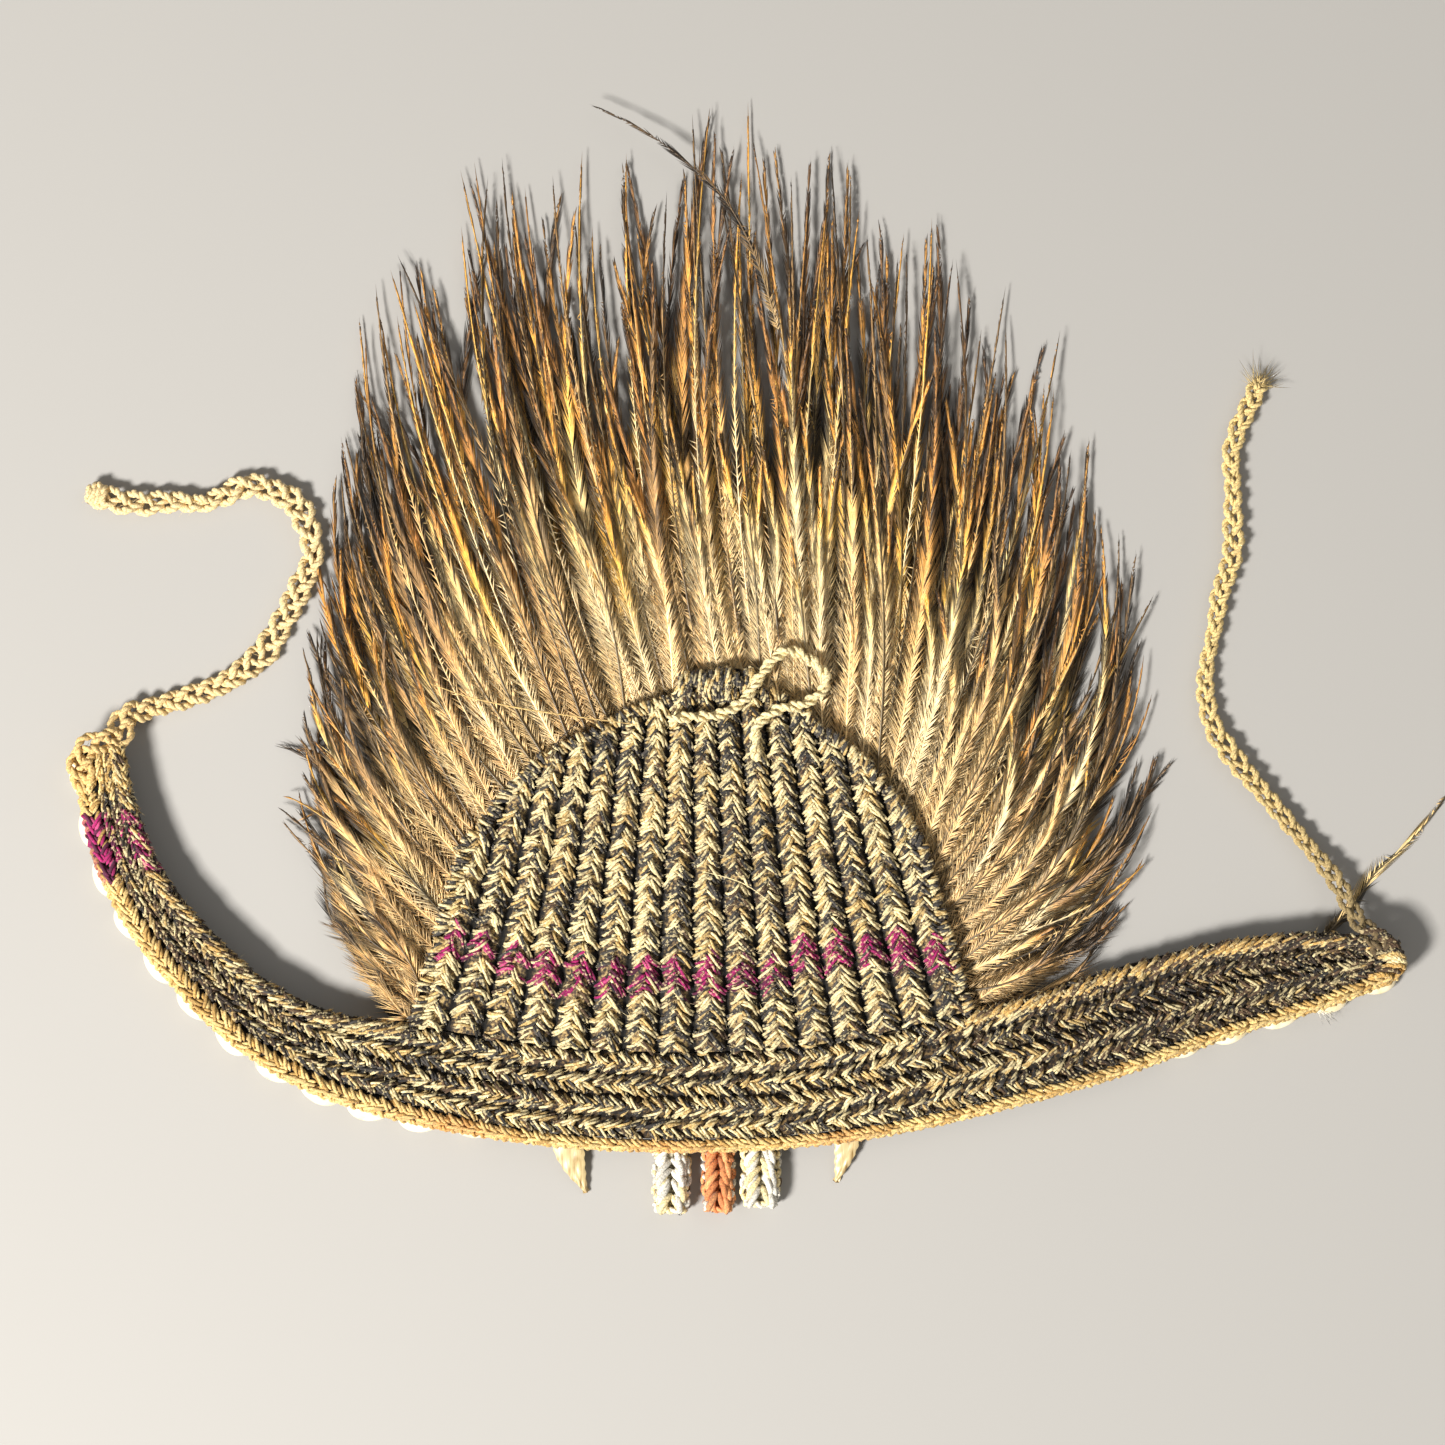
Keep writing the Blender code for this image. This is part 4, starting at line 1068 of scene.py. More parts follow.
def tooth(name, width, length, lean, finish):
    """A flat pointed slip, split from a tooth, with worn edges and a shallow groove."""
    low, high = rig.box(name)
    root_x = (low.x + width / 2) if lean > 0 else (high.x - width / 2)
    bpy.ops.object.select_all(action="DESELECT")
    bpy.ops.mesh.primitive_grid_add(x_subdivisions=13, y_subdivisions=25, size=1.0, location=(0, 0, 0))
    made = bpy.context.object
    for vert in made.data.vertices:
        share = 0.5 - vert.co.y
        side = vert.co.x * 2
        half = width / 2 * np.interp(share, *TOOTH_OUTLINE.T)
        chip = 0.00022 * math.sin(share * 37 + side * 2) * abs(side)
        x = root_x + lean * share * share + side * (half + chip)
        y = high.y - share * (TOOTH_TUCK + length)
        groove = 0.00030 * math.exp(-((side - 0.15) / 0.10) ** 2)
        z = (CLOTH_UNDER - GAP) * (1 - share) + TOOTH_THICK * share
        z -= 0.0007 * abs(side) ** 3 + groove + 0.00012 * math.sin(share * 23 + side * 5)
        vert.co = (x, y, z)
    solid = made.modifiers.new("thickness", "SOLIDIFY")
    solid.thickness = TOOTH_THICK * 0.9
    solid.offset = -1
    bpy.ops.object.modifier_apply(modifier="thickness")
    soften = made.modifiers.new("worn_edges", "BEVEL")
    soften.width = 0.0004
    soften.segments = 2
    soften.limit_method = "ANGLE"
    bpy.ops.object.modifier_apply(modifier="worn_edges")
    bpy.ops.object.shade_smooth()
    lift = min(vert.co.z for vert in made.data.vertices)
    if lift < 0:
        for vert in made.data.vertices:
            vert.co.z -= lift
    made.name = name + "_slip"
    made.data.materials.append(finish)
    placed(made, "tooth", name)


TAB_ROWS = 5
LEG_LENGTH = 0.0084      # a leg of a tab's big stitch
LEG_STEPS = 12


def tab_core(name, finish, slot):
    """The tab's body between the stitches, a little smaller than its solid."""

    def shrink(spot, middle):
        spot.x = middle.x + (spot.x - middle.x) * 0.74
        spot.y = middle.y + (spot.y - middle.y) * 0.94
        spot.z = 0.0008 + spot.z * 0.62

    return own_form(name, name + "_core", finish, slot, shrink)


def tab(name, light, dark, side_dyes, finish, slot, seed):
    """A thick tab: rows of two plump legs each, knotty sides and a rounded end."""
    rng = np.random.default_rng(seed)
    low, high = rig.box(name)
    middle, half = (low.x + high.x) / 2, (high.x - low.x) / 2
    top, length = high.y, high.y - low.y
    strands = Strands()
    t = np.linspace(0, 1, LEG_STEPS)
    pitch = (length - LEG_LENGTH * 0.72) / (TAB_ROWS - 1)
    for row in range(TAB_ROWS):
        for side in (-1, 1):
            start = top + 0.0022 - pitch * row + rng.normal(0, 0.0004)
            wide = (0.60 if row < TAB_ROWS - 1 else 0.50) * half + rng.normal(0, 0.0002)
            x = middle + side * (0.0007 + (wide - 0.0007) * np.sin(t * math.pi * 0.56) ** 1.1)
            y = np.maximum(start - LEG_LENGTH * t * (1 + rng.normal(0, 0.04)), low.y + 0.0011)
            z = 0.0052 + 0.0024 * np.sin(math.pi * (0.12 + 0.80 * t)) + 0.0003 * side * (row % 2)
            plies = plied(np.stack((x, y, z), 1)[None], 2, 0.00078, 0.55, rng.uniform(0, 3))
            plump = 0.00104 * (0.62 + 0.50 * np.sin(math.pi * (0.10 + 0.80 * t)))
            for ply in plies:
                tone = pick(rng, (6, 3), (light, dark), 1)
                strands.add(ply[None], plump[None], tone[:, None, :], sides=7)
    for side in (-1, 1):
        for level in range(3):
            count = int(length / 0.0032)
            for knot in range(count):
                y0 = top - (knot + 0.5 + rng.uniform(-0.2, 0.2)) * length / count
                x0 = middle + side * half * (0.84 - 0.06 * abs(level - 1))
                if knot == count - 1:
                    x0 -= side * half * 0.16
                turn = np.linspace(0, math.pi * 1.5, 9) + rng.uniform(0, 6)
                y = np.clip(y0 + 0.0015 * np.sin(turn), low.y + 0.0010, top)
                x = x0 + 0.0008 * np.cos(turn)
                z = np.clip(0.0015 + 0.0024 * level + 0.0007 * np.sin(turn * 0.7), 0.0011, 0.0080)
                tone = pick(rng, *side_dyes, 1)
                radius = 0.00088 * rng.uniform(0.85, 1.1)
                strands.add(np.stack((x, y, z), 1)[None], radius, tone[:, None, :], sides=6)
    for level, reach in ((0.0016, 0.66), (0.0040, 0.72), (0.0060, 0.52)):
        x = middle + half * reach * np.linspace(-1, 1, 15)
        y = low.y + 0.0012 + 0.0016 * np.linspace(-1, 1, 15) ** 2
        bottom = plied(np.stack((x, y, np.full(15, level)), 1)[None], 2, 0.0006, 1.5, rng.uniform(0, 3))
        tone = pick(rng, (6, 3), (light, dark), len(bottom))
        strands.add(bottom, 0.00084, tone[:, None, :], sides=6)
    return strands.make(name + "_stitches", finish, slot, name)


def pixel(x, y, height):
    """The point at a height that the photograph shows at a pixel."""
    return ((x - ORIGIN_PIXEL[0]) * METRES_PER_PIXEL, (ORIGIN_PIXEL[1] - y) * METRES_PER_PIXEL, height)


# Where the left tie is worked into the headband's end: across, down, height.
TIE_LEFT_START = ((90, 792, 0.0098), (84, 772, 0.0138), (84, 756, 0.0146), (93, 745, 0.0144),
                  (107, 740, 0.0132), (122, 737, 0.0112))
# Where the right tie comes over the headband's upper rim.
TIE_RIGHT_START = ((1382, 958, 0.0098), (1377, 946, 0.0136), (1369, 934, 0.0130))


def even_route(route, spacing, lower=0.0):
    """Points evenly spaced along a smooth curve through a route, and how far along each lies."""
    fine = smooth(route, np.linspace(0, len(route) - 1, 4000))
    fine[:, 2] -= lower
    along = lengths_along(fine)
    wanted = np.linspace(0, along[-1], int(along[-1] / spacing) + 1)
    return columns(wanted, along, fine), wanted


def add_strand(strands, line, ply_radius, ply_offset, lay_length, dye, rng, sides=6, plies=2):
    """One spun strand: its plies twist round it once every lay_length."""
    length = length_of(line)
    taper = np.ones(len(line))
    taper[:3] = (0.5, 0.75, 0.9)
    taper[-3:] = (0.9, 0.75, 0.5)
    for path in plied(line[None], plies, ply_offset, length / lay_length, rng.uniform(0, 6)):
        wander = 1 + 0.10 * np.sin(np.linspace(0, length / 0.004, len(path)) + rng.uniform(0, 6))
        tone = np.asarray(dye) * (0.94 + 0.10 * rng.uniform())
        strands.add(path[None], (ply_radius * taper * wander)[None], tone, sides)


def stray_fibres(strands, line, count, reach, length, dye, rng):
    """Fine loose fibres that stand off a cord."""
    place = rng.integers(3, len(line) - 3, count)
    root = line[place]
    swing = rng.uniform(0, 2 * math.pi, count)
    way = pointing(swing, rng.uniform(-0.1, 0.35, count))
    tip = root + way * (reach + length * rng.uniform(0.3, 1.0, count))[:, None]
    tip[:, 2] = np.maximum(tip[:, 2], 0.0004)
    strands.add_spikes(root, tip, 0.00022, dye)


# The ties, as in the solids: node, how far the route is lowered, length of a lobe,
# reach to the side and up, radius of a strand, dyes of its foot and the rest, frayed or not.
TIE_LEFT = ("tie_cord_left", 0.0014, 0.0074, 0.0033, 0.00115, 0.00142, ("#dab46e", "#ead09a"), False)
TIE_RIGHT = ("tie_cord_right", 0.0004, 0.0070, 0.0025, 0.00100, 0.00122, ("#3d2b1b", "#e2c787"), True)
KNOT_POINTS, KNOT_TURNS = 90, 3.4


def plaited_tie(route, sizes, finish, rng):
    """A three-strand plait: each strand swings across once every three lobes."""
    name, lower, lobe, wide, tall, strand, dyes, frayed = sizes
    foot_dye, dye = (np.array(colour(code)) for code in dyes)
    line, along = even_route(route, 0.0007, lower)
    length = float(along[-1])
    _, side, lift = frame_along(line)
    strands = Strands()
    grow = np.clip(0.45 + along / 0.012, 0, 1)
    fade = (1 - (along / length)[:, None]) ** 4
    swell = 1 + 0.16 * np.sin(along / 0.0061 + 1.0) * np.sin(along / 0.0173) + 0.10 * np.sin(along / 0.0112)
    drift = 0.0016 * np.sin(along / 0.0085) * np.sin(along / 0.021 + 0.5)
    for k in range(3):
        turn = 2 * math.pi * ((along + drift) / (3 * lobe) + k / 3)
        out = wide * grow * swell * np.sin(turn) + 0.00035 * np.sin(along / 0.0043 + 2.1 * k)
        centre = line + side * out[:, None] + lift * (tall * np.sin(2 * turn))[:, None]
        tone = foot_dye * fade + dye * (1 - fade)
        add_strand(strands, centre, strand * 0.66, strand * 0.46, 0.0062, tone, rng)
    loose = Strands()
    stray_fibres(loose, line, 70, wide, 0.0040, dye, rng)
    tip = line[-1]
    ahead = unit((tip - line[-4])[None])[0]
    count, spread, shortest, longest = (46, 0.55, 0.006, 0.014) if frayed else (16, 0.6, 0.003, 0.006)
    swing = rng.normal(0, spread, count)
    cos, sin = np.cos(swing), np.sin(swing)
    flat = (ahead[0] * cos - ahead[1] * sin, ahead[0] * sin + ahead[1] * cos)
    way = np.stack((*flat, rng.uniform(-0.15, 0.10, count)), 1)
    root = tip - ahead * 0.002 + rng.normal(0, 0.0010, (count, 3)) * (1, 1, 0.4)
    root[:, 2] = np.clip(root[:, 2], 0.0008, 0.006)
    end = root + way * rng.uniform(shortest, longest, count)[:, None]
    end[:, 2] = np.clip(end[:, 2], 0.0004, 0.006)
    loose.add_spikes(root, end, 0.00045, dye)
    if not frayed:
        turns = np.linspace(0, KNOT_TURNS * 2 * math.pi, KNOT_POINTS)[:, None]
        up = np.array((0.0, 0.0, 1.0))
        knot = tip + ahead * np.linspace(-0.0042, 0.0018, KNOT_POINTS)[:, None]
        knot = knot + np.cross(up, ahead) * (np.cos(turns) * 0.0031) + up * (np.sin(turns) * 0.0020)
        knot[:, 2] = np.maximum(knot[:, 2], 0.0017)
        add_strand(loose, knot, strand * 0.62, strand * 0.42, 0.0060, dye, rng)
    end_piece = loose.make(name + "_end", finish, "natural_fibre")
    return strands.make(name + "_plait", finish, "natural_fibre", name), line, length, end_piece


def twisted_loop(finish, rng):
    """The loop at the panel's top: two strands laid round each other."""
    line, along = even_route(TOP_LOOP_ROUTE, 0.0006)
    strands = Strands()
    for k in range(2):
        centre = around(line, 2 * math.pi * (along / LOOP_LAY + k / 2), 0.00105)
        add_strand(strands, centre, 0.00078, 0.00052, 0.0058, CREAM, rng)
    stray_fibres(strands, line, 64, 0.0012, 0.0026, CREAM, rng)
    return strands.make("top_loop_twist", finish, "natural_fibre", "top_loop"), line, float(along[-1])


def cord_path(line):
    """Points along a cord for its path, the last one with them."""
    return [tuple(point) for point in line[::12].tolist()] + [tuple(line[-1].tolist())]


def cords(finish, loop_finish):
    """The two ties and the loop, each with its whole length as the photograph shows it."""
    rng = np.random.default_rng(SEED + 20)
    route = tuple(pixel(*spot) for spot in TIE_LEFT_START) + TIE_LEFT_ROUTE[2:]
    left, line, length, knot = plaited_tie(route, TIE_LEFT, finish, rng)
    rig.cord(left, exit=TIE_LEFT_ROUTE[0], length=length, diameter=0.0090, far_end="knot",
            stiffness="limp", lay="loose", path=cord_path(line), with_pieces=[knot])
    route = tuple(pixel(*spot) for spot in TIE_RIGHT_START) + TIE_RIGHT_ROUTE[1:]
    right, line, length, fray = plaited_tie(route, TIE_RIGHT, finish, rng)
    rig.cord(right, exit=TIE_RIGHT_ROUTE[0], length=length, diameter=0.0070, far_end="bare",
            stiffness="limp", lay="loose", path=cord_path(line), with_pieces=[fray])
    loop, line, length = twisted_loop(loop_finish, rng)
    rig.cord(loop, exit=TOP_LOOP_ROUTE[0], length=length, diameter=0.0046, far_end="object",
            stiffness="medium", lay="loose", path=cord_path(line))


class Crest:
    """The streams that feathers follow out of the panel's edge."""

    def __init__(self):
        share = np.linspace(0, 1, 9)[:-1, None]
        plain = FAN_TOP.copy()
        inside = in_stub(FAN_SHARES)
        way = down_fan(FAN_SHARES * FAN_SLOPE)
        plain[inside] += (way * (STUB_HEIGHT / -way[:, 1])[:, None])[inside]
        left = FAN_FOOT[0] + (plain[0] - FAN_FOOT[0]) * share
        right = plain[-1] + (FAN_FOOT[-1] - plain[-1]) * (1 - share[::-1])
        self.edge = np.concatenate((left, plain[::12], right))
        self.along = lengths_along(self.edge)
        self.along /= self.along[-1]

    def at(self, share):
        return columns(np.clip(share, 0, 1), self.along, self.edge)

    def outward(self, share, step):
        """The direction out of the edge, from two points a step to either side."""
        along = unit(self.at(share + step) - self.at(share - step))
        return np.stack((-along[..., 1], along[..., 0]), -1)

    def stream(self, share, tip_share, t, shift=0.0):
        """Points of a stream at shares t of its length, and the direction across it."""
        root = self.at(share) - self.outward(share, 0.03) * BACKING_INSET
        base, spread = np.array((CREST_MID_X, PANEL_FOOT_Y)), np.array((CREST_WIDTH / 2, CREST_HEIGHT))
        bend = base + by_key(CREST_TABLE, share)[1:3] * spread + shift
        tip = base + by_key(CREST_TABLE, tip_share)[3:5] * spread
        first = root + (bend - root) * t
        across = np.array((-(tip - root)[1], (tip - root)[0])) / np.linalg.norm(tip - root)
        return first + (bend + (tip - bend) * t - first) * t, across


# Columns: place along a stream, top of the pile of feathers there, in metres.
PILE_TABLE = np.array(((0.00, 0.0062), (0.06, 0.0070), (0.14, 0.0108), (0.26, 0.0132), (0.45, 0.0128),
                       (0.62, 0.0106), (0.80, 0.0074), (0.92, 0.0050), (1.00, 0.0032)))
# Columns: place along a feather, reach of its barbs to the side, as a share of the most.
VANE_TABLE = np.array(((0.00, 0.55), (0.10, 0.95), (0.24, 1.00), (0.36, 0.78), (0.50, 0.52),
                       (0.68, 0.36), (0.85, 0.19), (1.00, 0.04)))
# Columns: place along a feather, angle of its barbs to the shaft, in degrees.
BARB_TABLE = np.array(((0.00, 42.0), (0.20, 32.0), (0.36, 21.0), (0.52, 14.5), (0.80, 11.0), (1.00, 6.0)))
# Columns: place along a feather, the most that a barb runs along it, in metres.
RUN_TABLE = np.array(((0.00, 0.0080), (0.25, 0.0120), (0.45, 0.0200), (0.75, 0.0210), (1.00, 0.0110)))
DOWN_SPACING, BARB_SPACING = 0.00084, 0.00198
PAST_TIP = 0.0075        # how far the last barbs run past the shaft's end
CLUMP_CHANCE, CLUMP_PULL = 0.26, 0.62    # barbs gather in bunches of about four
DARK_BARBS = 0.42        # share of bunches that lie in shadow
BRIGHTEST = 0.94         # most light that a barb returns
BELLY = 0.0085           # how far the side feathers hang below a straight line
# The tones of feathers, from root to tip.
GOLD_TONES = ((0.00, "#f0d29c"), (0.18, "#fae3b0"), (0.30, "#f6d690"), (0.46, "#eabc58"),
              (0.66, "#d89c40"), (0.86, "#bc863c"), (1.00, "#966c30"))
BROWN_TONES = ((0.00, "#e6c68c"), (0.18, "#f0d297"), (0.30, "#dfb974"), (0.46, "#c8944a"),
               (0.66, "#ae7a3a"), (0.86, "#906636"), (1.00, "#6e4e2c"))
SHADOW_TONES = ((0.00, "#d0b07c"), (0.25, "#d2ae74"), (0.48, "#9b794c"), (0.75, "#7a5d37"),
                (1.00, "#5c4526"))


def tone_at(tones, place):
    """The colour of a feather at places along it."""
    return columns(place, [row[0] for row in tones], np.array([colour(row[1]) for row in tones]))


class Feathers(Strands):
    """Feathers: a thin closed vane, a shaft and closed barbs, with each one's own colours."""

    def vane(self, line, half, roll, side, lift, dye, dye_edge):
        """A closed leaf of two skins, three points across, with its edges rolled."""
        count = len(line)
        tilt = side * np.cos(roll)[:, None] + lift * np.sin(roll)[:, None]
        left, right = line + tilt * half[:, None], line - tilt * half[:, None]
        left[:, 2] -= half * 0.10
        right[:, 2] -= half * 0.10
        low = line.copy()
        low[:, 2] -= 0.00022
        points = np.stack((left, line, right, low), 1)
        points[..., 2] = np.maximum(points[..., 2], 0.00015)
        tones = np.stack((dye_edge, dye, dye_edge, dye), 1)
        base = np.arange(count - 1)[:, None] * 4 + self.count
        ring, after = base + np.arange(4), base + (np.arange(4) + 1) % 4
        quads = np.stack((ring, after, 4 + after, 4 + ring), -1)
        ends = np.array(((0, 2, 1), (0, 3, 2))) + self.count
        last = (count - 1) * 4
        caps = np.array(((0, 1, 2), (0, 2, 3))) + self.count + last
        self.keep(points, tones, np.concatenate((ends, caps)), quads)

    def feather(self, line, width, roll, tones, rng,
                body=0.6, light=1.0, pale=0.3, down=0.42, close=1.0, stout=1.0):
        """One feather along a line of points: downy at its root, open barbs further out.

        body: share of the reach that the closed vane covers. light: how light it is; the layers use it as painted
        shade, lower layers darker under the ones above.
        pale: where its pale part ends. down: where its down ends. close: how close its
        barbs stand. stout: how thick its shaft's tip is."""
        ahead, side, lift = frame_along(line)
        lengths = lengths_along(line)
        length = lengths[-1]
        share = lengths / length
        shade = rng.uniform(0.92, 1.38)

        def tone(at):
            return tone_at(tones, np.interp(at, (0, pale, 1), (0, 0.30, 1)))

        half = np.interp(share, *VANE_TABLE.T) * width / 2
        cover = body * np.interp(share, (0, 0.40, 0.66, 0.88, 1), (1, 0.85, 0.40, 0.05, 0.03))
        # Painted shade: the closed vane under the barbs is dyed dark, nearly black past the down, so the gaps between
        # barbs read as shadow.
        under = np.interp(share, (0, down * 0.7, down + 0.12, 1), (0.42, 0.32, 0.07, 0.05))
        roll_at = roll * np.sin(share * math.pi * 0.8 + 0.3)
        # Painted shade of the lower layers on the vane.
        under = under * light
        skin = tone(share) * (shade * under)[:, None]
        # Painted shade: the vane's rolled edges a quarter darker.
        skin_edge = tone(share) * (shade * under * 0.75)[:, None]
        self.vane(line, half * cover, roll_at, side, lift, skin, skin_edge)
        thick = np.interp(share, (0, 0.3, 1), (0.00046, 0.00036, 0.00014 * stout))
        stem = rng.uniform(0.10, 0.26) if rng.uniform() < 0.4 else rng.uniform(0.75, 1.1)
        shaft = line.copy()
        shaft[:, 2] += 0.00100 if stem < 0.5 else 0.00030
        self.add(shaft[None], thick[None], (tone(share * 0.8) * shade * stem * light)[None], sides=3)
        steps = np.interp(np.linspace(0, 1, 200), (0, down, down + 0.1, 1),
                          (1 / DOWN_SPACING, 1 / DOWN_SPACING, 1 / BARB_SPACING, 1 / BARB_SPACING))
        total = np.concatenate(([0], np.cumsum(steps) * close * length / 200))
        count = int(total[-1])
        for way in (-1, 1):
            wanted = np.arange(count) + rng.uniform(0.1, 0.9, count)
            at = np.interp(wanted, total, np.linspace(0, 1, 201)) * 0.99
            root, side_at, lift_at = (columns(at, share, table) for table in (line, side, lift))
            ahead_at = unit(columns(at, share, ahead))
            downy = np.clip((down - at) / 0.15, 0, 1)
            reach = np.interp(at, *VANE_TABLE.T) * width / 2
            reach = reach * (1 + rng.normal(0, 0.10 + 0.14 * downy))
            angle = np.interp(at, *BARB_TABLE.T) + rng.normal(0, 1.6 + 9 * downy)
            angle = np.radians(np.clip(angle, 5, 85))
            roll_here = np.interp(at, share, roll_at)
            out = way * (side_at * np.cos(roll_here)[:, None] + lift_at * np.sin(roll_here)[:, None])
            run = np.interp(at, *RUN_TABLE.T) * rng.uniform(0.75, 1.15, count)
            past = PAST_TIP * rng.uniform(0.05, 1.0, count)
            run = np.minimum(np.minimum(reach / np.tan(angle), run), (1 - at) * length + past)
            reach = run * np.tan(angle)
            tip = root + out * reach[:, None] + ahead_at * run[:, None]
            tip[:, 2] += rng.normal(0.0, 0.0004, count) + downy * rng.uniform(-0.0006, 0.0016, count)
            tip[:, 2] -= 0.10 * reach
            clump = np.cumsum(rng.uniform(size=count) < CLUMP_CHANCE)
            members = np.maximum(np.bincount(clump), 1)[:, None]
            shared = np.stack([np.bincount(clump, tip[:, k]) for k in range(3)], 1) / members
            tip += (shared[clump] - tip) * (CLUMP_PULL * (1 - 0.6 * downy))[:, None]
            root[:, 2] += 0.00020
            tip[:, 2] = np.maximum(tip[:, 2], 0.0003)
            wide = 0.00060 - 0.00008 * downy + rng.normal(0, 0.00006, count)
            # Painted shade on the bunches that lie in shadow, painted highlights on the lit ones, up to 1.75 times
            # their tone (1.90 in the down).
            shadowed = (rng.uniform(size=len(members)) < DARK_BARBS)[clump]
            vary = np.where(shadowed, rng.uniform(0.10, 0.32, count), rng.uniform(0.85, 1.75, count))
            downy_shade_and_highlight = np.where(shadowed, rng.uniform(0.42, 1.05, count), rng.uniform(1.15, 1.90, count))
            vary = vary * (1 - downy) + downy_shade_and_highlight * downy
            vary = vary * rng.uniform(0.80, 1.15, len(members))[clump]
            # Painted shade of the layer, lifted towards full at the root, over the down and at the tip, where no layer
            # lies above.
            painted_layer_shade = np.maximum(light, (0.8, 0.7, 0.0, 0.0, 0.95))
            vary = vary * np.interp(at, (0, down, down + 0.18, 0.78, 1), painted_layer_shade)
            start_dye = tone(at) * (shade * vary)[:, None]
            # Painted highlight: each barb's tip 12 per cent lighter than its root, besides its tone further along.
            tip_dye_and_highlight = tone(np.minimum(at + 0.06, 1)) * (shade * vary * 1.12)[:, None]
            for dye in (start_dye, tip_dye_and_highlight):
                dye /= np.maximum(dye.max(1) / BRIGHTEST, 1)[:, None]
            self.add_spikes(root, tip, wide, start_dye, tip_dye_and_highlight)


# Layers of the crest, lowest first: how many feathers, shortest and longest share of
# their stream, height in the pile, width, how wide the closed vane is, how light they are, as painted shade: lower
# layers darker under the ones above.
LAYERS = (
    (84, 0.82, 1.00, 0.22, 0.0150, 0.90, 0.36),
    (80, 0.74, 1.00, 0.45, 0.0148, 0.50, 0.72),
    (78, 0.56, 0.97, 0.70, 0.0142, 0.32, 1.00),
    (66, 0.36, 0.86, 0.95, 0.0132, 0.22, 1.10),
)
# The dark gap right of the middle, and the longest share of its stream that a feather has there.
PARTING, PARTING_LENGTH = (0.556, 0.602), 0.46
# Dark feathers: where they start towards the sides, how often they lie at the left and elsewhere.
DARK_FROM, DARK_LEFT, DARK_REST = 0.80, 0.36, 0.13
GOLD_SHARE = 0.55        # of the other feathers
FEATHER_POINTS = 20
# The long dark feather that crosses the others at the top: across, down, height.
DARK_FEATHER = ((778, 330, 0.0080), (757, 262, 0.0090), (728, 205, 0.0090), (692, 168, 0.0080),
                (645, 132, 0.0066), (590, 104, 0.0056))
WISPS = 92                # thin, sparse feathers that stand out at the tips


def hang(share, own):
    """How far a side feather's middle hangs and its tip turns up, along its length."""
    side = (share - 0.5) * 2
    depth = side * abs(side) * min((1 - abs(side)) / 0.14, 1.0)
    return BELLY * depth * (0.7 * own ** 3 - np.sin(own * math.pi))


def third_of(share):
    """The third of the crest that a stream belongs to."""
    return "left" if share < 0.36 else "middle" if share < 0.66 else "right"


def crest_feathers(finish):
    """Layers of feathers, the dark one that crosses them and the wisps at their tips."""
    rng = np.random.default_rng(SEED + 40)
    crest = Crest()
    groups = {"left": Feathers(), "middle": Feathers(), "right": Feathers()}
    own = np.linspace(0, 1, FEATHER_POINTS)
    for count, shortest, longest, rise, width, body, light in LAYERS:
        for number in range(count):
            share = (number + 0.5 + rng.uniform(-0.45, 0.45)) / count
            tip_share = np.clip(share + rng.normal(0, 0.028), 0, 1)
            length = rng.uniform(shortest, longest)
            if PARTING[0] < share < PARTING[1]:
                length = min(length, PARTING_LENGTH)
            t = np.linspace(0.0, length, FEATHER_POINTS)[:, None]
            flat, across = crest.stream(share, tip_share, t, rng.normal(0, 0.0062, 2))
            bow = rng.normal(0, 0.0030) * np.sin(own * math.pi) + rng.normal(0, 0.0048) * own ** 3
            flat = flat + across * bow[:, None] + across * hang(share, own)[:, None]
            height = np.interp(t[:, 0], *PILE_TABLE.T) * (rise + (0.16 - rise * 0.16) * own ** 2)
            height = height + 0.0007 * np.sin(own * 5 + rng.uniform(0, 6)) * own
            line = raised(flat, np.maximum(height, 0.0009))
            outer = abs(share - 0.5) * 2
            often = DARK_LEFT if share < 0.30 else DARK_REST
            dark = outer > DARK_FROM + rng.normal(0, 0.12) or rng.uniform() < often
            tones = SHADOW_TONES if dark else GOLD_TONES if rng.uniform() < GOLD_SHARE else BROWN_TONES
            pale = 0.26 + 0.20 * min(outer * 1.3, 1.0)
            width_here, roll = width * rng.uniform(0.80, 1.15), rng.normal(0, 0.22)
            pale = min(pale * rng.uniform(0.5, 1.6) / length, 0.7)
            groups[third_of(share)].feather(line, width_here, roll, tones, rng, body=body, light=light,
                                            pale=pale, down=min(0.38 / length, 0.6))
    line, _ = even_route([pixel(*spot) for spot in DARK_FEATHER], 0.0040)
    groups["middle"].feather(line, 0.0080, 0.2, SHADOW_TONES, rng, body=0.3, light=0.55,
                             pale=0.1, down=0.05)
    for number in range(WISPS):
        share = (number + 0.5 + rng.uniform(-0.45, 0.45)) / WISPS
        tip_share = np.clip(share + rng.normal(0, 0.02), 0, 1)
        t = np.linspace(0.12, rng.uniform(0.88, 1.05), FEATHER_POINTS)[:, None]
        flat, across = crest.stream(share, tip_share, t)
        flat = flat + across * (rng.normal(0, 0.0036) * own ** 3 + hang(share, own))[:, None]
        height = np.interp(t[:, 0], *PILE_TABLE.T) * rng.uniform(0.45, 0.95)
        line = raised(flat, np.maximum(height, 0.0012))
        tones = (SHADOW_TONES, BROWN_TONES, GOLD_TONES)[rng.integers(0, 3)]
        groups[third_of(share)].feather(line, 0.0070, 0.1, tones, rng, body=0.02, pale=0.5, down=0.05,
                                        close=0.60, stout=2.2)
    for name, feathers in groups.items():
        feathers.make("crest_feathers_" + name, finish, "feather", "feather_crest")


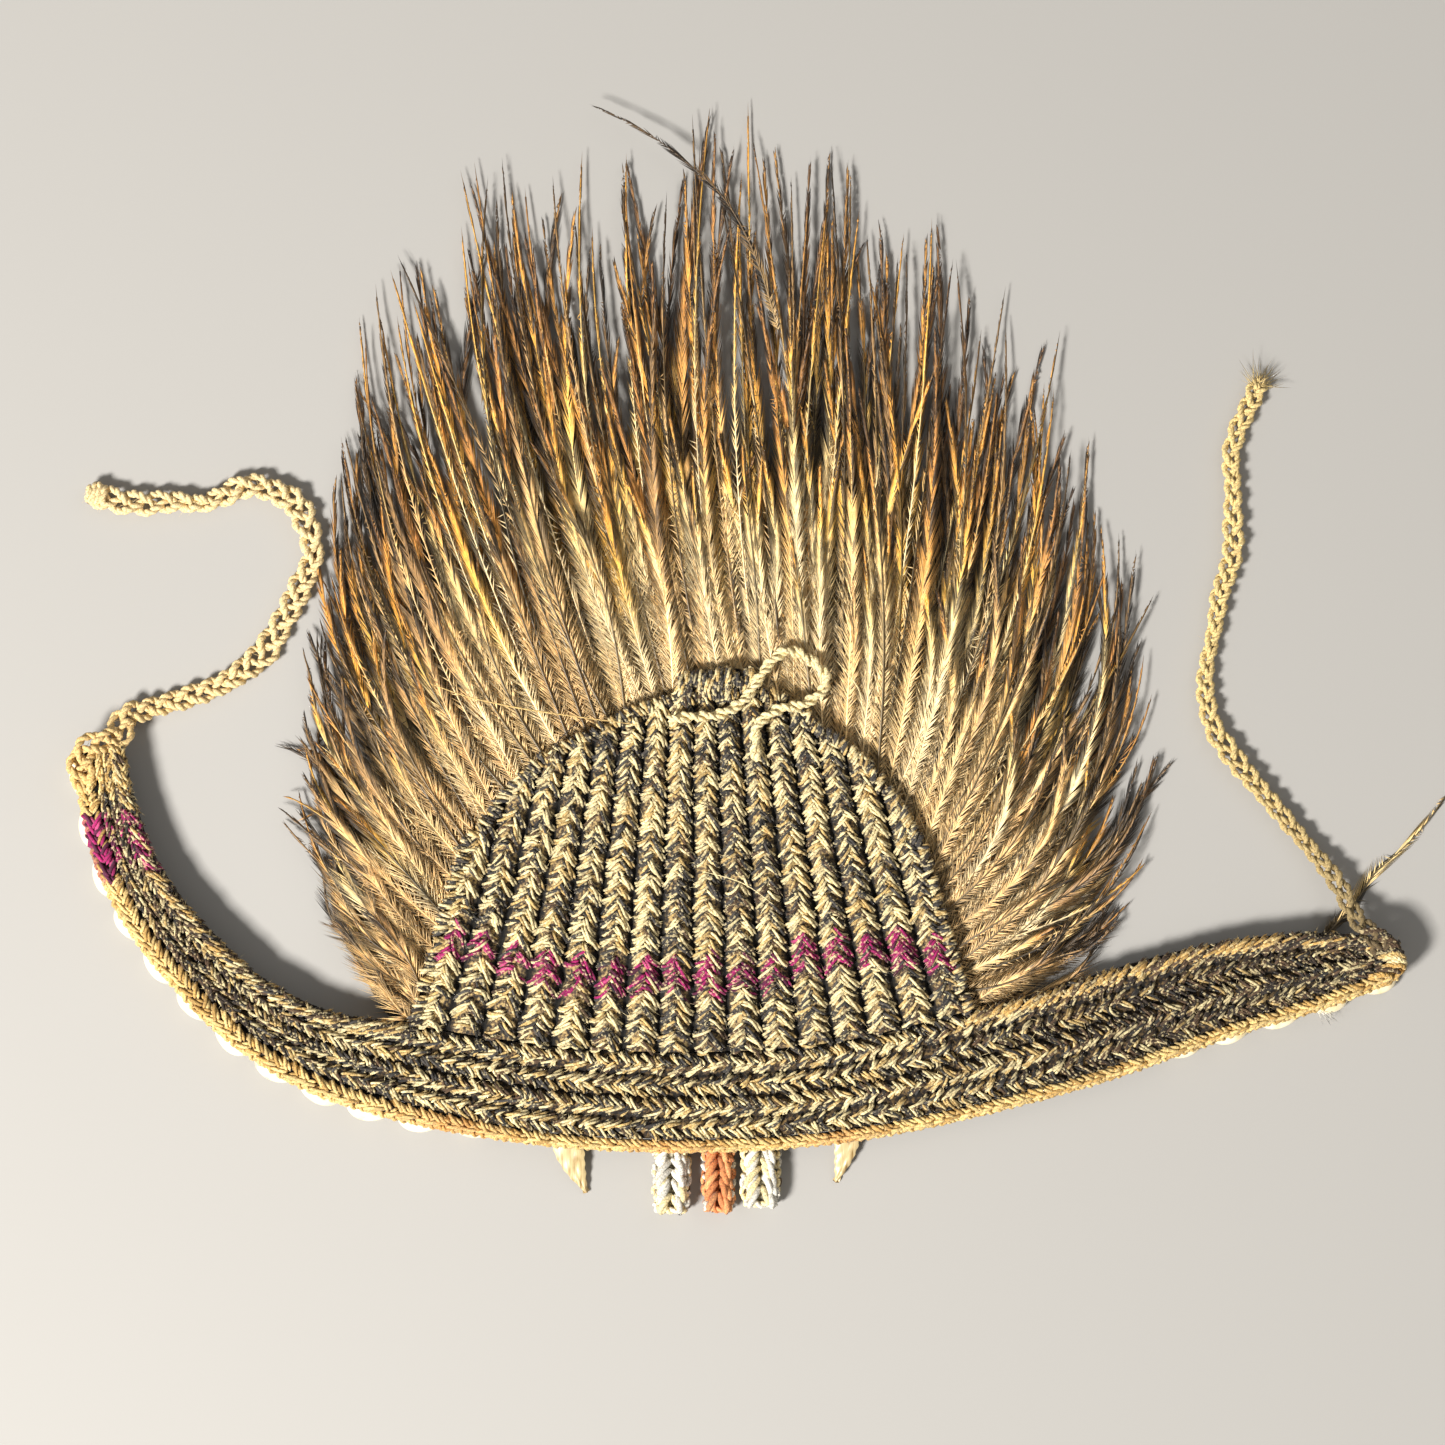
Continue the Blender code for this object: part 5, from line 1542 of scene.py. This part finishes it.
END_FEATHER = ((1322, 938, 0.0058), (1334, 926, 0.0050), (1357, 902, 0.0014), (1376, 874, 0.0008),
               (1402, 851, 0.0007), (1427, 825, 0.0007), (1452, 789, 0.0008))
END_TONES = ((0.0, "#c9a66a"), (0.5, "#e8cf92"), (1.0, "#d9b470"))


def end_feather(finish):
    """The single loose feather under the right tie."""
    rng = np.random.default_rng(SEED + 60)
    line, _ = even_route([pixel(*spot) for spot in END_FEATHER], 0.0025)
    one = Feathers()
    one.feather(line, 0.0098, 0.1, END_TONES, rng, body=0.42, down=0.02, close=0.80)
    one.make("end_feather_barbs", finish, "feather", "end_feather")


# Loose bits, each a route of pixels and heights, its thickness and its dye.
STRAWS = (
    (((430, 683, 0.0146), (470, 697, 0.0152), (520, 708, 0.0156), (580, 717, 0.0156), (640, 725, 0.0150)),
     0.00034, STRAW),
    (((646, 780, 0.0142), (690, 800, 0.0146), (735, 812, 0.0140)), 0.00022, EARTH),
    (((592, 712, 0.0150), (560, 740, 0.0150), (548, 765, 0.0140)), 0.00022, EARTH),
    (((700, 870, 0.0140), (742, 882, 0.0146), (775, 905, 0.0140)), 0.00020, CREAM),
    (((835, 660, 0.0150), (858, 690, 0.0156), (862, 722, 0.0150)), 0.00022, CREAM),
)
# The white wisp past the lower rim: where it starts, how many fibres.
WISP_PIXEL, WISP_FIBRES = (1322, 1010, 0.0040), 22


def loose_bits(finish):
    """A straw and a few loose fibres on the feathers and cloth, and a white wisp."""
    rng = np.random.default_rng(SEED + 70)
    strands = Strands()
    for route, thickness, dye in STRAWS:
        line, along = even_route([pixel(*spot) for spot in route], 0.0015)
        taper = np.interp(along / along[-1], (0, 0.5, 1), (0.5, 1.0, 0.4))
        strands.add(line[None], (thickness * taper)[None], dye, sides=5)
    root = np.array(pixel(*WISP_PIXEL)) + rng.normal(0, 0.0010, (WISP_FIBRES, 3)) * (1, 1, 0.5)
    swing = rng.normal(-0.9, 0.8, WISP_FIBRES)
    way = pointing(swing, rng.uniform(-0.3, 0.1, WISP_FIBRES))
    tip = root + way * rng.uniform(0.003, 0.008, WISP_FIBRES)[:, None]
    tip[:, 2] = np.maximum(tip[:, 2], 0.0005)
    strands.add_spikes(root, tip, 0.00040, PALE)
    strands.make("loose_straws", finish, "natural_fibre")


# The lamps: name, place, size, watts. The photograph's shadows fall to the upper right.
LAMPS = (("key_light", (-1.35, -1.10, 1.75), 0.50, 118.0), ("fill_light", (0.90, 0.70, 1.20), 1.20, 4.0))
AMBIENT = 0.26
CAMERA_DISTANCE, FOCUS_HEIGHT = 1.5, 0.006


def camera_and_light():
    """A camera straight above that frames what the photograph does, two lamps and a dim sky."""
    middle = ((PICTURE_PIXELS / 2 - ORIGIN_PIXEL[0]) * METRES_PER_PIXEL,
              (ORIGIN_PIXEL[1] - PICTURE_PIXELS / 2) * METRES_PER_PIXEL)
    lens = bpy.data.cameras.new("camera")
    lens.sensor_width = 36.0
    lens.lens = 36.0 * CAMERA_DISTANCE / (PICTURE_PIXELS * METRES_PER_PIXEL)
    camera = bpy.data.objects.new("camera", lens)
    camera.location = (*middle, CAMERA_DISTANCE + FOCUS_HEIGHT)
    bpy.context.scene.collection.objects.link(camera)
    bpy.context.scene.camera = camera
    for name, place, size, power in LAMPS:
        lamp = bpy.data.lights.new(name, "AREA")
        lamp.size = size
        lamp.energy = power
        lamp.color = (1.0, 0.97, 0.93)
        lit = bpy.data.objects.new(name, lamp)
        lit.location = place
        lit.rotation_euler = (Vector((0, -0.02, 0)) - Vector(place)).to_track_quat("-Z", "Y").to_euler()
        bpy.context.scene.collection.objects.link(lit)
    world = bpy.data.worlds.new("studio")
    world.use_nodes = True
    sky = world.node_tree.nodes["Background"]
    sky.inputs["Color"].default_value = (1.0, 0.98, 0.95, 1)
    sky.inputs["Strength"].default_value = AMBIENT
    bpy.context.scene.world = world
    bpy.context.scene.view_settings.view_transform = "Standard"


def floor():
    """A plain pale floor, just under the object."""
    bpy.ops.object.select_all(action="DESELECT")
    bpy.ops.mesh.primitive_plane_add(size=6.0, location=(0, 0, 0))
    made = bpy.context.object
    made.name = "floor"
    made.location = (0, 0, -0.0002)
    paper, _, shader = new_material("pale_floor", 0.9)
    shader.inputs["Base Color"].default_value = (*colour("#a8a6a2"), 1)
    made.data.materials.append(paper)
    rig.stage(made)


def sheet_area(piece):
    """The flat area of a ground cloth: its underside's."""
    return sum(face.area for face in piece.data.polygons if face.normal.z < -0.8)


def main():
    """The camera and the cords first, then every piece."""
    camera_and_light()
    natural = fibre_material("natural_plant_fibre", 0.80, 0.60, 0.12)
    yarn = fibre_material("looped_two_ply_fibre", 0.85, 0.55, 0.10, 0.42)
    cords(natural, yarn)
    floor()
    # The cloths' dyes are darker than their yarns, as painted half-shade between the stitches, and 0.0097 to 0.011 is
    # the height ramp of the painted shade in the grooves.
    grey_cloth = ground_material("looped_cloth_grey", ("#2c2926", "#6d5a42", "#b59c68"), 0.0097, 0.0110)
    brown_cloth = ground_material("looped_cloth_brown", ("#1d1814", "#463626", "#8a7046"), 0.0097, 0.0112)
    # The tab cores' dyes are darker than the tabs' yarn, as painted shade between the stitches.
    pale_core = ground_material("looped_cloth_pale", ("#6a6352", "#a49c84", "#cfc8ae"))
    ochre_core = ground_material("looped_cloth_ochre", ("#6e4022", "#a86a3c", "#d08e58"))
    shell = shell_material()
    enamel = tooth_material()
    quill = feather_material()

    panel = ground_cloth("cap_panel", "panel_cloth", grey_cloth, "looped_fibre", 0.0014)
    band = ground_cloth("headband", "headband_cloth", brown_cloth, "looped_fibre", 0.0010)
    edging = ground_cloth("lower_edging", "edging_cloth", brown_cloth, "natural_fibre", 0.0012)
    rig.sheet(panel, flat=(0.215, 0.140), held="laid", area=sheet_area(panel),
             with_pieces=[panel_stitches(yarn), panel_border(yarn)])
    on_band = [band_stitches(yarn), upper_whipping(yarn), end_loops(yarn), edging, edging_stitches(natural),
               rim_twist(natural)]
    cowries(shell)
    for name, width, length, lean in TEETH:
        tooth(name, width, length, lean, enamel)
    pale = ("pale_fibre", PALE, CREAM, ((5, 4, 1), (PALE, CREAM, BROWN)), pale_core)
    warm = ("ochre_fibre", OCHRE, RUST, ((5, 3, 2), (OCHRE, RUST, PALE)), ochre_core)
    tabs = []
    for name, look in (("tab_left", pale), ("tab_middle", warm), ("tab_right", pale)):
        slot, light, dark, sides, core = look
        seed = SEED + len(tabs)
        tabs += [tab_core(name, core, slot), tab(name, light, dark, sides, natural, slot, seed)]
    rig.sheet(band, flat=(0.600, 0.0365), held="laid", area=sheet_area(band), with_pieces=on_band + tabs)
    crest_feathers(quill)
    end_feather(quill)
    loose_bits(natural)


main()
with open("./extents.json", "w") as note:
    json.dump([[list(corner) for corner in CAD_BOX], [list(corner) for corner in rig.bounds()]], note)
